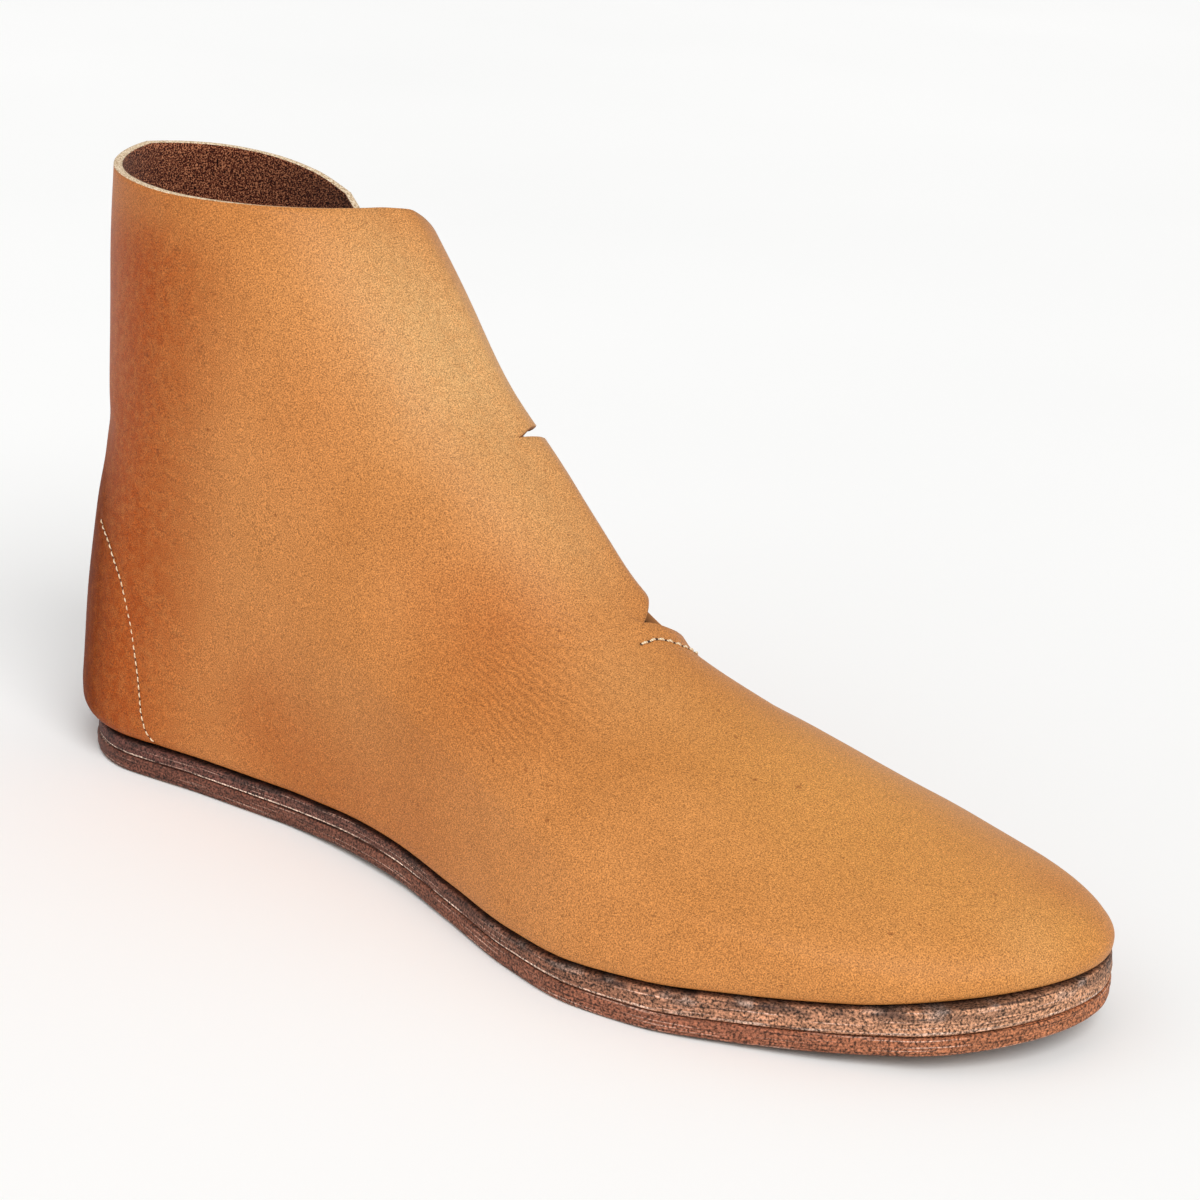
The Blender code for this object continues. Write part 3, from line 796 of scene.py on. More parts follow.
# The wrinkles are drawn in the colour too: darker in their troughs as painted shade and lighter on their tops
# as a painted highlight, since the bump alone hardly shows.
wrinkle_shade = add_node(leather, "MapRange", {"To Min": 1.14, "To Max": 0.90}, {"Value": wrinkles})
creased = add_node(leather, "Mix", SHADE, {FACTOR: flexed, COLOUR_A: speckled, COLOUR_B: wrinkle_shade})
wrinkle_depth = add_node(leather, "Math", {"operation": "MULTIPLY"}, {0: wrinkles, 1: flexed})
grain_bump = add_node(leather, "Bump", {"Strength": 0.50, "Distance": 0.06 * MM}, {"Height": grain})
wrinkle_bump = add_node(
    leather, "Bump", {"Strength": 0.8, "Distance": 0.25 * MM, "invert": True},
    {"Height": wrinkle_depth, "Normal": grain_bump},
)
print("wrinkles", WRINKLE_MM, "mm apart")

# %% Wax and gloss of the grain side
WAXED_SHINE = 0.14
SHADED_SHINE = 0.02
WAX_COAT = 0.03

gloss = add_node(leather, "MapRange", {"To Min": 0.42, "To Max": 0.60}, {"Value": clouds})
# Where shade is painted on the back, its sheen and coat are lowered as well, since little light reaches
# there.
in_back_shade = add_node(leather, "Attribute", {"attribute_name": "back_painted_shade"})
shine, wax = (
    add_node(leather, "MapRange", {"From Max": 0.7, "To Min": kept, "To Max": lost}, {"Value": in_back_shade})
    for kept, lost in ((WAXED_SHINE, SHADED_SHINE), (WAX_COAT, 0.0))
)
# An exported model has one specular level all over, the socket's own value, so it is set before it is linked.
dress(leather, {"IOR": 1.48, "Specular IOR Level": WAXED_SHINE, "Coat Roughness": 0.40})
dress(leather, {
    "Base Color": creased, "Specular IOR Level": shine, "Coat Weight": wax, "Roughness": gloss,
    "Normal": wrinkle_bump,
})
upper.data.materials.append(leather)
print(leather.name, "has", len(leather.node_tree.nodes), "nodes")

# %% [markdown]
# ## Suede inside and pale cut edges
# The inside of the boot is the hide's flesh side, stained dark and left rough, so short fibres stand up and
# catch the light as a fine nap. Hair could draw each fibre, but a light and dark speckle with a little
# sheen looks the same from this far and is much lighter to render. Where the knife cut, the undyed middle
# of the hide shows as a pale, dry, slightly fuzzy band at the collar. The edges of the tabs are handled
# whenever the boot is tied, and have darkened.

# %% Flesh side
# The nap's fibres are finer than 0.1 mm. They are drawn about four times as coarse, so that they show.
NAP_MM = 0.38
INSIDE_SHADE_START = -0.145
INSIDE_SHADE_FULL = -0.070

suede, place, nap, fibres = mottled(
    "flesh_side_suede_stained", NAP_MM, {"Detail": 2.0, "Roughness": 0.6},
    [(0.38, "1c0804"), (0.50, "64291b"), (0.63, "d58d64")],
)
# The stain was brushed in from the front, where it is deepest.
# The inside is painted darker towards the front and nearly black there, as painted shade on the walls that
# turn away from the light, and a little lighter at the heel, which faces it.
from_heel = add_node(
    suede, "MapRange", {"From Min": INSIDE_SHADE_START, "From Max": INSIDE_SHADE_FULL, "To Min": 1.08, "To Max": 0.04},
    {"Value": add_node(suede, "SeparateXYZ", links={"Vector": place})},
)
stained = add_node(suede, "Mix", SHADE, {COLOUR_A: fibres, COLOUR_B: from_heel})
nap_bump = add_node(suede, "Bump", {"Strength": 0.9, "Distance": 0.35 * MM}, {"Height": nap})
dress(suede, {"Base Color": stained, "Normal": nap_bump})
dress(suede, {"Roughness": 0.95, "Specular IOR Level": 0.1, "Sheen Weight": 0.10})
upper.data.materials.append(suede)
print("nap", NAP_MM, "mm")

# %% Cut edge
# Bundles of fibre are about 0.2 mm thick. They are drawn about twice as coarse, so that they show.
FIBRE_MM = 0.45

cut_leather, _, fibre, cream = mottled(
    "knife_cut_leather_edge", FIBRE_MM, {"Detail": 3.0},
    [(0.34, "8f6a48"), (0.48, "d2b894"), (0.64, "f0dec4")],
)
handled = add_node(cut_leather, "Attribute", {"attribute_name": "handled"})
handled_tint = {"data_type": "RGBA", COLOUR_B: linear("a06a3c")}
rim_colour = add_node(cut_leather, "Mix", handled_tint, {FACTOR: handled, COLOUR_A: cream})
fibre_bump = add_node(cut_leather, "Bump", {"Strength": 0.6, "Distance": 0.15 * MM}, {"Height": fibre})
dress(cut_leather, {"Base Color": rim_colour, "Normal": fibre_bump, "Roughness": 0.85})
upper.data.materials.append(cut_leather)
print("upper's materials:", [m.name for m in upper.data.materials])

# %% [markdown]
# ## The sole's two layers
# The sole is two layers of thick leather, fixed together and trimmed on the same outline, with a slight
# rounding where the rasp has broken their edges. An extruded outline with a bevel would give the form, but
# not the roughness of trimmed fibre. So each layer is built ring by ring from a short side profile, and a
# noise that is stretched along the sole pushes the rings in and out by a fraction of a millimetre. The
# footbed inside is made the same way, with a smooth side.

# %% Side profiles of the sole
Step = namedtuple("Step", "z inset ragged")
OUTSOLE_SIDE = (
    Step(0.0000, 0.0080, 0.0), Step(0.0000, 0.0020, 0.0), Step(0.0001, 0.0011, 0.0),
    Step(0.0004, 0.0004, 0.4), Step(0.0010, 0.0001, 1.0), Step(0.0018, 0.0000, 1.0),
    Step(0.0026, 0.0000, 1.0), Step(0.0034, 0.0000, 1.0), Step(0.0042, 0.0000, 1.0),
    Step(0.0050, 0.0000, 1.0), Step(0.0055, 0.0001, 0.8), Step(0.0057, 0.0003, 0.5),
    Step(0.00585, 0.0008, 0.0), Step(0.00585, 0.0080, 0.0),
)
MIDSOLE_SIDE = (
    Step(0.00615, 0.0080, 0.0), Step(0.00615, 0.0009, 0.0), Step(0.0063, 0.0005, 0.4),
    Step(0.0066, 0.0003, 0.7), Step(0.0072, 0.0002, 1.0), Step(0.0080, 0.0002, 1.0),
    Step(0.0088, 0.0002, 1.0), Step(0.0096, 0.0003, 1.0), Step(0.0104, 0.0003, 1.0),
    Step(0.0111, 0.0004, 1.0), Step(0.0116, 0.0006, 0.8), Step(0.0119, 0.0009, 0.4),
    Step(0.0120, 0.0015, 0.2), Step(0.0120, 0.0050, 0.0), Step(0.0120, 0.0090, 0.0),
)
INSOLE_SIDE = (
    Step(0.0123, 0.0140, 0.0), Step(0.0123, 0.0092, 0.0), Step(0.0127, 0.0088, 0.0),
    Step(0.0138, 0.0084, 0.0), Step(0.0146, 0.0074, 0.0), Step(0.0151, 0.0067, 0.0),
    Step(0.0153, 0.0076, 0.0), Step(0.0153, 0.0140, 0.0),
)
print("steps of the sides:", len(OUTSOLE_SIDE), len(MIDSOLE_SIDE), len(INSOLE_SIDE))

# %% Sole layers
SOLE_STATIONS = 220
EDGE_RAGGED = 0.00022
RAGGED_LENGTH = 0.018
RAGGED_HEIGHT = 0.0011


def ring_faces(first, rings, sides):
    """Faces between rings of points that follow one another from index first."""
    faces = []
    for ring_index in range(rings - 1):
        a = first + ring_index * sides
        b = a + sides
        for i in range(sides):
            j = (i + 1) % sides
            faces.append((a + i, a + j, b + j, b + i))
    return faces


def run_lengths(line):
    """How far along a line of points each of them lies."""
    return np.concatenate([[0], np.cumsum(np.linalg.norm(np.diff(line, axis=0), axis=1))])


def sole_layer(name, profile, node):
    """A closed layer on the sole's outline, with the length along it and the height stored at each vertex."""
    to_toe = np.linspace(0, 1, SOLE_STATIONS + 1)
    along = np.concatenate([to_toe, to_toe[-2:0:-1]])
    count = len(along)
    outer = np.arange(count)[:, None] <= SOLE_STATIONS

    def outline(z, inset):
        lateral = sole_point("lateral", along, z, inset)
        return np.where(outer, lateral, sole_point("medial", along, z, inset))

    stretch = np.array((RAGGED_LENGTH, RAGGED_LENGTH, RAGGED_HEIGHT))
    points = []
    for step in profile:
        here = outline(step.z, step.inset)
        out = unit(here - outline(step.z, step.inset + MM))
        out[:, 2] = 0
        if step.ragged:
            fibre = np.array([noise.noise(Vector(place / stretch)) for place in here])
            here = here + out * (EDGE_RAGGED * step.ragged * fibre)[:, None]
        points.append(here)
    faces = ring_faces(0, len(profile), count)
    for level, up in ((0, False), (len(profile) - 1, True)):
        for i in range(SOLE_STATIONS):
            corners = [i, i + 1, (count - i - 1) % count, (count - i) % count]
            corners = [level * count + c for n, c in enumerate(corners) if c not in corners[:n]]
            faces.append(tuple(corners if up else corners[::-1]))
    piece = make_piece(name, np.vstack(points), faces, node)
    paint(piece, "along", np.tile(run_lengths(points[0]), len(profile)))
    paint(piece, "height", np.repeat([step.z for step in profile], count))
    return piece


outsole = sole_layer("outsole_layer", OUTSOLE_SIDE, "outsole")
midsole = sole_layer("midsole_layer", MIDSOLE_SIDE, "midsole")
insole = sole_layer("footbed", INSOLE_SIDE, "insole")

# %% [markdown]
# ## Trimmed sole leather
# Sole leather is pressed hard and cut square, so its edge is a speckle of cut fibre with thin layers that
# run along the sole. Brown stain has soaked in unevenly: dark at the heel and waist, worn paler at the toe.
# A thin broken line of bare leather shows where the layers meet, and the top is painted nearly black, partly
# a dark stain and partly a painted shadow under the overhanging upper. Noise in plain space would run off the
# edge where the outline curves, so the long patterns use the length along the outline and the height that
# were stored at the vertices, and bend with the sole.

# %% Patterns of the sole edges
Pattern = namedtuple("Pattern", "name length_mm height_mm detail")
EDGE_PATTERNS = (
    Pattern("strata", 12.0, 0.60, 3.0), Pattern("hairlines", 24.0, 0.50, 1.0),
    Pattern("smudges", 9.0, 3.0, 3.0), Pattern("breaks", 8.0, 4.0, 2.0),
)
# Cut fibres are about 0.1 mm thick. Their speckle is drawn about six times as coarse, so that it shows.
GRIT_MM = 0.58
BOUNDARY = 0.0069
BOUNDARY_HALF = 0.0003
BOUNDARY_WAVER = 0.0010
boot_back, boot_front = cad_box[0][0], cad_box[1][0]


def edge_patterns(material):
    """Outputs by name: noises along the edge, speckle, height, the way to the toe and the boundary."""
    along = add_node(material, "Attribute", {"attribute_name": "along"})
    height = add_node(material, "Attribute", {"attribute_name": "height"})
    place = add_node(material, "TexCoord")
    flat = add_node(material, "CombineXYZ", links={"X": along, "Y": height})
    found = {"height": height}
    for pattern in EDGE_PATTERNS:
        stretch = (1 / (pattern.length_mm * MM), 1 / (pattern.height_mm * MM), 1.0)
        spread = add_node(material, "Mapping", {"Scale": stretch}, {"Vector": flat})
        streaks = {"Scale": 1.0, "Detail": pattern.detail, "Distortion": 0.2}
        found[pattern.name] = add_node(material, "TexNoise", streaks, {"Vector": spread})
    speckle = {"Scale": 1 / (GRIT_MM * MM), "Detail": 2.0, "Roughness": 0.6}
    found["grit"] = add_node(material, "TexNoise", speckle, {"Vector": place})
    found["toward_toe"] = add_node(
        material, "MapRange", {"From Min": boot_back, "From Max": boot_front},
        {"Value": add_node(material, "SeparateXYZ", links={"Vector": place})},
    )
    waver = {"operation": "MULTIPLY_ADD", 1: BOUNDARY_WAVER}
    wavering = add_node(material, "Math", waver, {0: found["strata"], 2: height})
    close = {"operation": "COMPARE", 1: BOUNDARY + BOUNDARY_WAVER / 2, 2: BOUNDARY_HALF}
    found["boundary"] = add_node(material, "Math", close, {0: wavering})
    return found


print("edge patterns:", [(pattern.name, pattern.length_mm, pattern.height_mm) for pattern in EDGE_PATTERNS])

# %% Marks on the sole edges
# A mask is a pattern and the range that it is mapped from and to. Masks of one mark are multiplied.
Mask = namedtuple("Mask", "pattern from_min from_max to_min to_max")
Mark = namedtuple("Mark", "hex_colour masks")
RANGE = ("From Min", "From Max", "To Min", "To Max")
TOP_HALF = Mask("height", 0.0086, 0.0112, 0.0, 1.0)
PALE_HAIRLINE = Mark("c4a391", [Mask("hairlines", 0.62, 0.70, 0.0, 0.55)])
DARK_HAIRLINE = Mark("2c1914", [Mask("hairlines", 0.38, 0.31, 0.0, 0.75)])
BARE_LINE = Mark("d9bfad", [
    Mask("boundary", 0.0, 1.0, 0.0, 1.0), Mask("breaks", 0.42, 0.58, 0.0, 0.95),
    Mask("toward_toe", 0.50, 0.80, 1.0, 0.45),
])
SMUDGE = Mark("30211d", [TOP_HALF, Mask("smudges", 0.46, 0.60, 0.0, 0.85)])
TOE_SCUFF = Mark("a08c80", [
    TOP_HALF, Mask("toward_toe", 0.52, 0.75, 0.0, 1.0), Mask("breaks", 0.52, 0.62, 0.0, 0.45),
])
# The top under the upper is painted nearly black: partly dark stain, partly a painted shadow of the upper.
DARK_TOP_AND_SHADOW = Mark("1d100d", [Mask("height", 0.0118, 0.0120, 0.0, 0.55)])
OUTSOLE_MARKS = (PALE_HAIRLINE, DARK_HAIRLINE)
MIDSOLE_MARKS = OUTSOLE_MARKS + (BARE_LINE, SMUDGE, TOE_SCUFF, DARK_TOP_AND_SHADOW)
STRATA_SHADE = Mask("strata", 0.30, 0.70, 0.74, 1.26)
OUTSOLE_GRIT = Mask("grit", 0.36, 0.66, 0.22, 2.15)
MIDSOLE_GRIT = Mask("grit", 0.36, 0.66, 0.16, 2.45)
print("marks:", len(OUTSOLE_MARKS), "on the ground layer,", len(MIDSOLE_MARKS), "on the second")

# %% Stained sole edges
STAIN_STOPS = (0.0, 0.36, 0.60, 0.82, 1.0)
OUTSOLE_STAINS = ("5a3429", "633c2e", "754836", "86513a", "975e3e")
MIDSOLE_STAINS = ("4c2a24", "5c3a30", "644031", "96694f", "a07457")


def sole_edge(name, stains, marks, grit_shade):
    """Sole leather with its stain from heel to toe, then its marks, then the shade of its fibre."""
    material = new_material(name)
    found = edge_patterns(material)
    colour = add_node(
        material, "ValToRGB", links={"Fac": found["toward_toe"]}, stops=zip(STAIN_STOPS, stains)
    )
    for mark in marks:
        cover = None
        for pattern, *limits in mark.masks:
            part = add_node(material, "MapRange", dict(zip(RANGE, limits)), {"Value": found[pattern]})
            if cover is not None:
                part = add_node(material, "Math", {"operation": "MULTIPLY"}, {0: cover, 1: part})
            cover = part
        tint = {"data_type": "RGBA", COLOUR_B: linear(mark.hex_colour)}
        colour = add_node(material, "Mix", tint, {FACTOR: cover, COLOUR_A: colour})
    for pattern, *limits in (STRATA_SHADE, grit_shade):
        shade = add_node(material, "MapRange", dict(zip(RANGE, limits)), {"Value": found[pattern]})
        colour = add_node(material, "Mix", SHADE, {COLOUR_A: colour, COLOUR_B: shade})
    layers = {"Strength": 0.7, "Distance": 0.25 * MM}
    layer_bump = add_node(material, "Bump", layers, {"Height": found["hairlines"]})
    fibre = {"Strength": 0.5, "Distance": 0.12 * MM}
    fibre_bump = add_node(material, "Bump", fibre, {"Height": found["grit"], "Normal": layer_bump})
    dress(material, {
        "Base Color": colour, "Normal": fibre_bump, "Roughness": 0.72, "Specular IOR Level": 0.3,
    })
    print(name, "has", len(material.node_tree.nodes), "nodes")
    return material


outsole.data.materials.append(
    sole_edge("sole_leather_edge_stained_red_brown", OUTSOLE_STAINS, OUTSOLE_MARKS, OUTSOLE_GRIT)
)
midsole.data.materials.append(
    sole_edge("sole_leather_edge_stained_dark", MIDSOLE_STAINS, MIDSOLE_MARKS, MIDSOLE_GRIT)
)

# %% [markdown]
# ## Tread
# The ground side of the sole is the grain side of the hide, scuffed grey-brown by walking. The eye gets
# cloudy patches of wear and fine scratches that run roughly along the foot. Single scratches could be
# modelled, but the sole is hardly ever seen from below, so one stretched noise is enough.

# %% Tread leather
SCUFF_MM = 22.0
SCRATCH_LENGTH_MM = 9.0
SCRATCH_WIDTH_MM = 0.5
SCRATCH_TILT = math.radians(8)
FACING_DOWN = -0.9

tread, place, _, scuffed = mottled(
    "sole_leather_tread_scuffed", SCUFF_MM, {"Detail": 5.0}, [(0.35, "5f4334"), (0.65, "9a7a60")]
)
scratch_size = (SCRATCH_LENGTH_MM, SCRATCH_WIDTH_MM, SCRATCH_WIDTH_MM)
drawn_out = add_node(
    tread, "Mapping",
    {"Rotation": (0.0, 0.0, SCRATCH_TILT), "Scale": [1 / (size * MM) for size in scratch_size]},
    {"Vector": place},
)
scratches = add_node(tread, "TexNoise", {"Scale": 1.0, "Detail": 2.0}, {"Vector": drawn_out})
scratch_shade = add_node(
    tread, "MapRange", {"From Min": 0.3, "From Max": 0.7, "To Min": 0.75, "To Max": 1.2}, {"Value": scratches}
)
tread_colour = add_node(tread, "Mix", SHADE, {COLOUR_A: scuffed, COLOUR_B: scratch_shade})
scratch_bump = add_node(tread, "Bump", {"Strength": 0.5, "Distance": 0.1 * MM}, {"Height": scratches})
dress(tread, {"Base Color": tread_colour, "Normal": scratch_bump, "Roughness": 0.8})
outsole.data.materials.append(tread)
underside = [int(polygon.normal.z < FACING_DOWN) for polygon in outsole.data.polygons]
outsole.data.polygons.foreach_set("material_index", underside)
print("tread faces:", sum(underside))

# %% [markdown]
# ## Footbed
# The footbed is a thinner piece of the same kind of hide, laid grain side up and left undyed. Skin and wear
# darken it in places, so the eye gets a colour that drifts slowly, with a fine grain over it. It lies in
# the shadow of the shaft, so two noises are enough.

# %% Footbed leather
FOOTBED_CLOUD_MM = 45.0
# Like the grain outside, this one is drawn coarser than real pores, about five times, so that it shows.
FOOTBED_GRAIN_MM = 0.8

footbed_leather, place, _, tinted = mottled(
    "footbed_leather_undyed_worn", FOOTBED_CLOUD_MM, {"Detail": 4.0}, [(0.3, "7d5234"), (0.7, "b98a5e")]
)
grain = add_node(
    footbed_leather, "TexNoise", {"Scale": 1 / (FOOTBED_GRAIN_MM * MM), "Detail": 2.0}, {"Vector": place}
)
grain_bump = add_node(footbed_leather, "Bump", {"Strength": 0.5, "Distance": 0.12 * MM}, {"Height": grain})
dress(footbed_leather, {"Base Color": tinted, "Normal": grain_bump, "Roughness": 0.7})
insole.data.materials.append(footbed_leather)
print("footbed clouds", FOOTBED_CLOUD_MM, "mm, grain", FOOTBED_GRAIN_MM, "mm")

# %% [markdown]
# ## Sewn rows
# A pale waxed thread holds the heel stiffener inside the boot, in a line of small stitches that climbs from
# the sole to the back. A second, coarser row binds the throat. A dashed line of colour would look flat, and
# an array along a curve would tip the stitches out of the surface. So each stitch is a small arched bar of
# thread, set by the surface's own normal, and its ends dip into dark needle holes. All stitches of a row
# are one mesh.

# %% Tubes and circles
def tube_faces(first, rings, sides):
    """Faces of a closed tube: its sides and both ends."""
    last = first + (rings - 1) * sides
    ends = [tuple(range(first + sides - 1, first - 1, -1)), tuple(range(last, last + sides))]
    return ring_faces(first, rings, sides) + ends


def circle(centre, side, other, radius, count):
    """Points round a centre, in the plane of two directions."""
    turn = 2 * math.pi * np.arange(count)[:, None] / count
    return centre + radius * (side * np.cos(turn) + other * np.sin(turn))


print("a tube of two rings of eight points has", len(tube_faces(0, 2, 8)), "faces")

# %% A row of stitches
THREAD_SIDES = 8
THREAD_RINGS = 9
HOLE_SIDES = 10
HOLE_LIFT = 0.06 * MM
AHEAD = 0.1 * MM
# The rise of a stitch's middle, the dip and thickness of its ends and a hole's size are in thread radii.
STITCH_RISE = 1.1
STITCH_DIP = 0.45
STITCH_END = 0.55
HOLE_SIZE = 1.2
# Any direction will do that no normal of the rows points in.
SLANT = np.array((1.0, 0.3, 0.2))
Thread = namedtuple("Thread", "pitch radius filled")


def stitch_row(name, around, z, lift, thread):
    """Thread bars and needle holes along a line lifted off the last, with the faces of the holes last."""
    up = last_normal(around, z)
    line = last_point(around, z) + up * np.asarray(lift)[..., None]
    run = run_lengths(line)

    def at(distance):
        spot = np.array([np.interp(distance, run, line[:, axis]) for axis in range(3)])
        normal = np.array([np.interp(distance, run, up[:, axis]) for axis in range(3)])
        return spot, unit(normal)

    rings = []
    holes = []
    faces = []
    count = int(run[-1] / thread.pitch)
    for stitch in range(count):
        start = (stitch + (1 - thread.filled) / 2) * thread.pitch
        faces += tube_faces(len(rings) * THREAD_SIDES, THREAD_RINGS, THREAD_SIDES)
        for t in np.linspace(0, 1, THREAD_RINGS):
            distance = start + t * thread.filled * thread.pitch
            spot, normal = at(distance)
            across = unit(np.cross(at(distance + AHEAD)[0] - spot, normal))
            arch = math.sin(math.pi * t)
            centre = spot + normal * thread.radius * (STITCH_RISE * arch - STITCH_DIP)
            thick = thread.radius * (STITCH_END + (1 - STITCH_END) * arch)
            rings.append(circle(centre, across, normal, thick, THREAD_SIDES))
            if t in (0, 1):
                side = unit(np.cross(normal, SLANT))
                mouth = spot + normal * HOLE_LIFT
                size = HOLE_SIZE * thread.radius
                holes.append(circle(mouth, side, np.cross(normal, side), size, HOLE_SIDES))
    thread_faces = len(faces)
    for hole in range(len(holes)):
        first = len(rings) * THREAD_SIDES + hole * HOLE_SIDES
        faces.append(tuple(range(first, first + HOLE_SIDES)))
    piece = make_piece(name, np.vstack(rings + holes), faces)
    kinds = (np.arange(len(faces)) >= thread_faces).astype(int)
    piece.data.polygons.foreach_set("material_index", kinds)
    print(name, "has", count, "stitches")
    return piece


print("a stitch has", len(tube_faces(0, THREAD_RINGS, THREAD_SIDES)), "faces")

# %% Rows of stitches
HEEL_THREAD = Thread(2.1 * MM, 0.19 * MM, 0.76)
HEEL_PROUD = 0.08 * MM
THROAT_THREAD = Thread(3.0 * MM, 0.33 * MM, 0.80)
THROAT_PROUD = 0.20 * MM
THROAT_MARGIN = 2.3 * MM
THROAT_FROM = 0.966
THROAT_TO = 1.17

heel_lift = HEEL_PROUD - SEAM_PULL
heel_outer, heel_inner = (
    stitch_row(name, seam_side, heel_seam_heights, heel_lift, HEEL_THREAD)
    for name, seam_side in (
        ("heel_stitches_outer", heel_seam_around), ("heel_stitches_inner", 2 - heel_seam_around),
    )
)
throat_around = np.linspace(THROAT_FROM, THROAT_TO, SEAM_POINTS)
throat_heights = table_curve(throat_around, THROAT_LINE, "z") - THROAT_MARGIN
on_lip = nearness(last_point(throat_around, throat_heights), lip, LIP_WIDTH)
throat_lift = LIP_RISE * on_lip + THROAT_PROUD
throat_row = stitch_row("throat_stitches", throat_around, throat_heights, throat_lift, THROAT_THREAD)

# %% [markdown]
# ## Waxed linen thread
# Sewing thread for such boots is linen twisted from several strands and drawn through wax. The eye gets a
# pale cream with fine slanted bands of the twist. The strands could be modelled, but at this size a
# diagonal wave in colour and bump reads the same. The needle holes are dark because little light comes out
# of them.

# %% Thread and needle holes
TWIST_MM = 0.5
HOLE_FIBRE_MM = 0.4

linen = new_material("linen_thread_twisted_waxed")
place = add_node(linen, "TexCoord")
twist = add_node(
    linen, "TexWave",
    {"bands_direction": "DIAGONAL", "Scale": 2 * math.pi / (WAVE_RADIANS * TWIST_MM * MM), "Distortion": 1.0},
    {"Vector": place},
)
strands = add_node(linen, "ValToRGB", links={"Fac": twist}, stops=[(0.1, "d8b78a"), (0.8, "f3e0c0")])
twist_bump = add_node(linen, "Bump", {"Strength": 0.5, "Distance": 0.1 * MM}, {"Height": twist})
dress(linen, {"Base Color": strands, "Normal": twist_bump, "Roughness": 0.6})

needle_hole, _, _, shadow = mottled(
    "needle_hole_in_leather", HOLE_FIBRE_MM, {}, [(0.3, "2a150c"), (0.7, "4a2815")]
)
dress(needle_hole, {"Base Color": shadow, "Roughness": 0.9})
for row in (heel_outer, heel_inner, throat_row):
    row.data.materials.append(linen)
    row.data.materials.append(needle_hole)
print("thread twisted every", TWIST_MM, "mm")

# %% [markdown]
# ## Thong ties
# On the inner side two short leather thongs hold the tabs. Each comes up through a hole in its tab, lies
# over the tab's end and goes down through a hole in the quarter. A bevelled curve would be round, but a
# thong is cut square and only rounded by handling, so its section is a soft square swept along the path.

# %% Form of the thongs
THONG_RADIUS = 0.0012
THONG_CLEAR = 0.0004
THONG_ON_TAB = 0.035
THONG_ON_QUARTER = 0.075
THONG_RINGS = 41
THONG_SIDES = 16
THONG_DIP = 0.0032
THONG_DIP_LENGTH = 0.16
THONG_FLATNESS = 0.85
SQUARENESS = 4


def thong(name, low_row, high_row, node):
    end = np.array(FLAP_END)
    height = float(tab_height(low_row, end) + tab_height(high_row, end)) / 2
    t = np.linspace(0, 1, THONG_RINGS)
    around = FLAP_END - THONG_ON_TAB + t * (THONG_ON_TAB + THONG_ON_QUARTER)
    past_edge = smooth_step((around - FLAP_END) / THONG_ON_QUARTER)
    dip = 1 - smooth_step(np.minimum(t, 1 - t) / THONG_DIP_LENGTH)
    rise = THONG_RADIUS + THONG_CLEAR + (WALL + FLAP_CLEAR) * (1 - past_edge) - THONG_DIP * dip
    normal = last_normal(around, height)
    path = last_point(around, height) + normal * rise[:, None]
    forward = unit(np.gradient(path, axis=0))
    across = unit(np.cross(forward, normal))
    lift = np.cross(across, forward)
    turn = 2 * math.pi * np.arange(THONG_SIDES) / THONG_SIDES
    square = (np.abs(np.cos(turn)) ** SQUARENESS + np.abs(np.sin(turn)) ** SQUARENESS) ** (-1 / SQUARENESS)
    wide = THONG_RADIUS * square * np.cos(turn)
    tall = THONG_RADIUS * THONG_FLATNESS * square * np.sin(turn)
    rings = path[:, None] + wide[None, :, None] * across[:, None] + tall[None, :, None] * lift[:, None]
    faces = tube_faces(0, THONG_RINGS, THONG_SIDES)
    return make_piece(name, rings.reshape(-1, 3), faces, node)


thongs = [
    thong("thong_lower", 0, LOWER_TAB_ROWS, "lace_lower"),
    thong("thong_upper", LOWER_TAB_ROWS + 1, LAST_ROW, "lace_upper"),
]

# %% Thong leather
# Bundles of fibre are about 0.2 mm thick. They are drawn about six times as coarse, so that they show.
THONG_FIBRE_MM = 1.2

thong_leather, _, fibre, brown = mottled(
    "thong_leather_dyed_dark", THONG_FIBRE_MM, {"Detail": 4.0}, [(0.3, "2a1710"), (0.75, "5a3826")]
)
fibre_bump = add_node(thong_leather, "Bump", {"Strength": 0.6, "Distance": 0.2 * MM}, {"Height": fibre})
dress(thong_leather, {"Base Color": brown, "Normal": fibre_bump, "Roughness": 0.55})
for piece in thongs:
    piece.data.materials.append(thong_leather)
print("thong fibre", THONG_FIBRE_MM, "mm on", len(thongs), "thongs")

# %% [markdown]
# ## Floor and light
# A white table and a white room give the soft, nearly shadowless light of a studio. A wide window on the
# toe's side and above models the form: the front of the ankle and the toe turn to it, and the heel turns
# away. A weaker reflector fills the outer side. Both are suns with a wide angle, because a sun lights the
# whole table evenly.

# %% Floor
FLOOR_SIZE = 60.0
PAPER_CLOUD_MM = 500.0

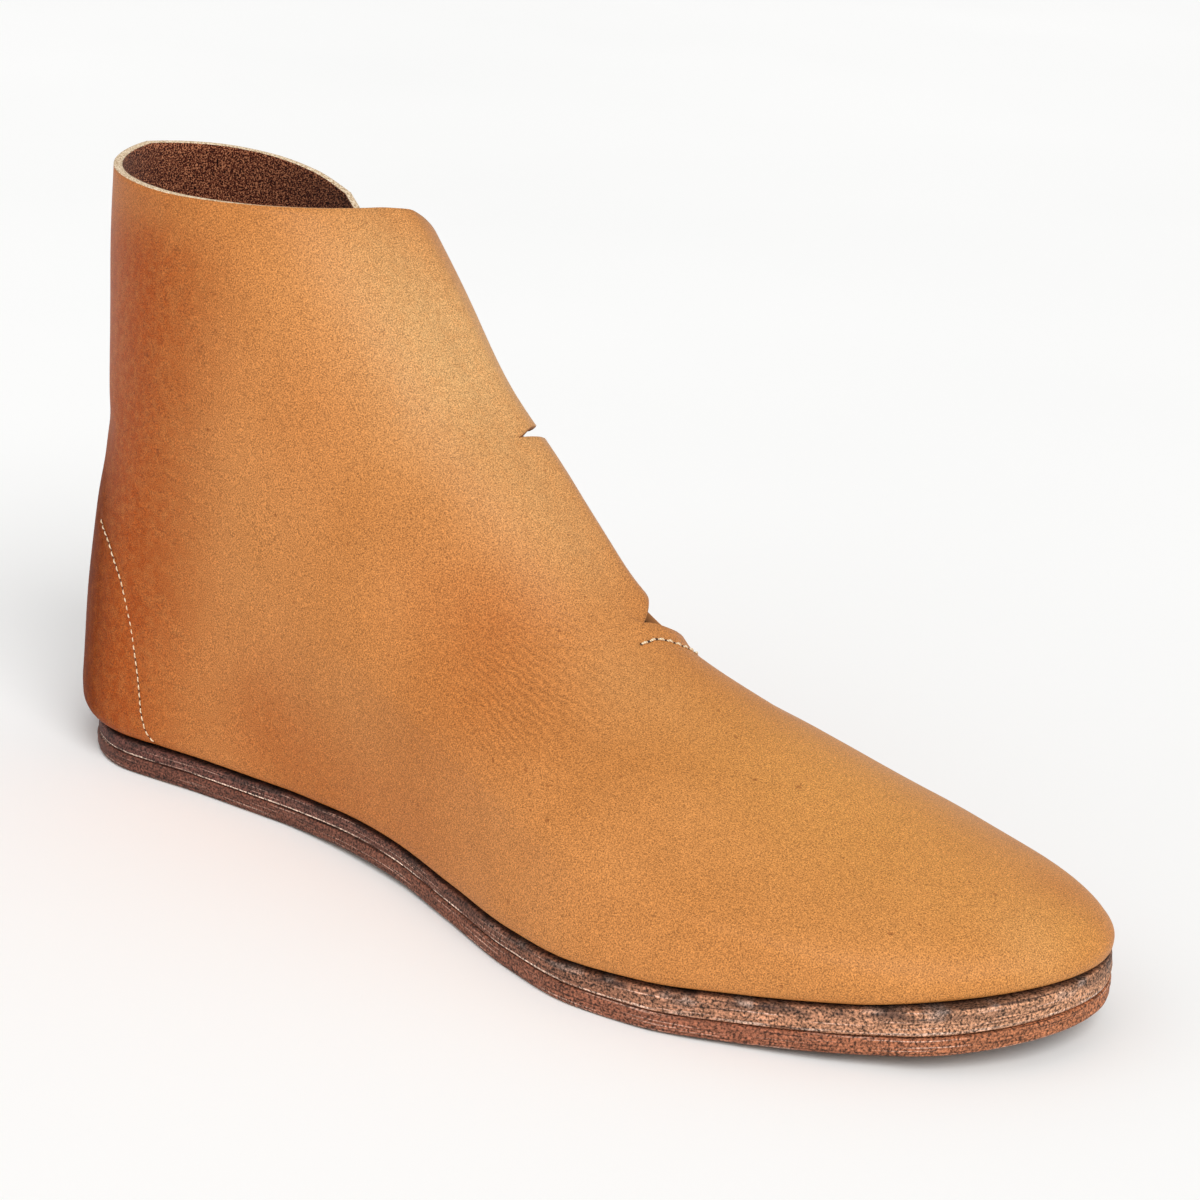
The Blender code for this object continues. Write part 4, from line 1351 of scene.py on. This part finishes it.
half = FLOOR_SIZE / 2
corners = [(-half, -half, 0), (half, -half, 0), (half, half, 0), (-half, half, 0)]
floor_mesh = bpy.data.meshes.new("floor")
floor_mesh.from_pydata(corners, [], [(0, 1, 2, 3)])
floor = bpy.data.objects.new("floor", floor_mesh)
scene.collection.objects.link(floor)
floor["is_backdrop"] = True
paper, _, _, white = mottled("white_paper_matt", PAPER_CLOUD_MM, {}, [(0.3, "f9f9f8"), (0.7, "fcfcfb")])
dress(paper, {"Base Color": white, "Roughness": 0.9})
floor_mesh.materials.append(paper)
print("floor", FLOOR_SIZE, "m wide")

# %% Lamps
Lamp = namedtuple("Lamp", "name toward strength spread")
LAMPS = (
    Lamp("window", (0.75, -0.55, 0.95), 1.95, math.radians(38)),
    Lamp("reflector", (-0.50, -0.80, 0.55), 0.35, math.radians(60)),
)
for lamp in LAMPS:
    light = bpy.data.lights.new(lamp.name, "SUN")
    light.energy = lamp.strength
    light.angle = lamp.spread
    holder = bpy.data.objects.new(lamp.name, light)
    scene.collection.objects.link(holder)
    holder.rotation_euler = Vector(lamp.toward).to_track_quat("Z", "Y").to_euler()
    print(lamp.name, "shines from", lamp.toward)

# %% Room
ROOM_LIGHT = 0.51
WALL_LIGHT = 1.0
WALL_HEIGHT = 0.22

room = bpy.data.worlds.new("white_room")
scene.world = room
room.use_nodes = True
background = room.node_tree.nodes["Background"]
background.inputs["Color"].default_value = linear("ffffff")
direction = add_node(room, "TexCoord", output="Generated")
upward = add_node(room, "SeparateXYZ", links={"Vector": direction}, output="Z")
# The walls of the room are as bright as the table, and the ceiling is dimmer.
glow = add_node(
    room, "MapRange",
    {"interpolation_type": "SMOOTHSTEP", "From Max": WALL_HEIGHT, "To Min": WALL_LIGHT, "To Max": ROOM_LIGHT},
    {"Value": upward},
)
room.node_tree.links.new(glow, background.inputs["Strength"])
scene.view_settings.view_transform = "Standard"
print("room light from", WALL_LIGHT, "at the walls to", ROOM_LIGHT, "at the ceiling")

# %% [markdown]
# The dressed boot is meant to keep the solid boot's size. Both boxes are printed, so that they can be
# compared.

# %% Sizes and finish
visual_box = [list(corner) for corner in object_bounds()]
for name, box in (("solid", cad_box), ("dressed", visual_box)):
    print(name, "boot measures", [round((high - low) / MM, 1) for low, high in zip(*box)], "mm")
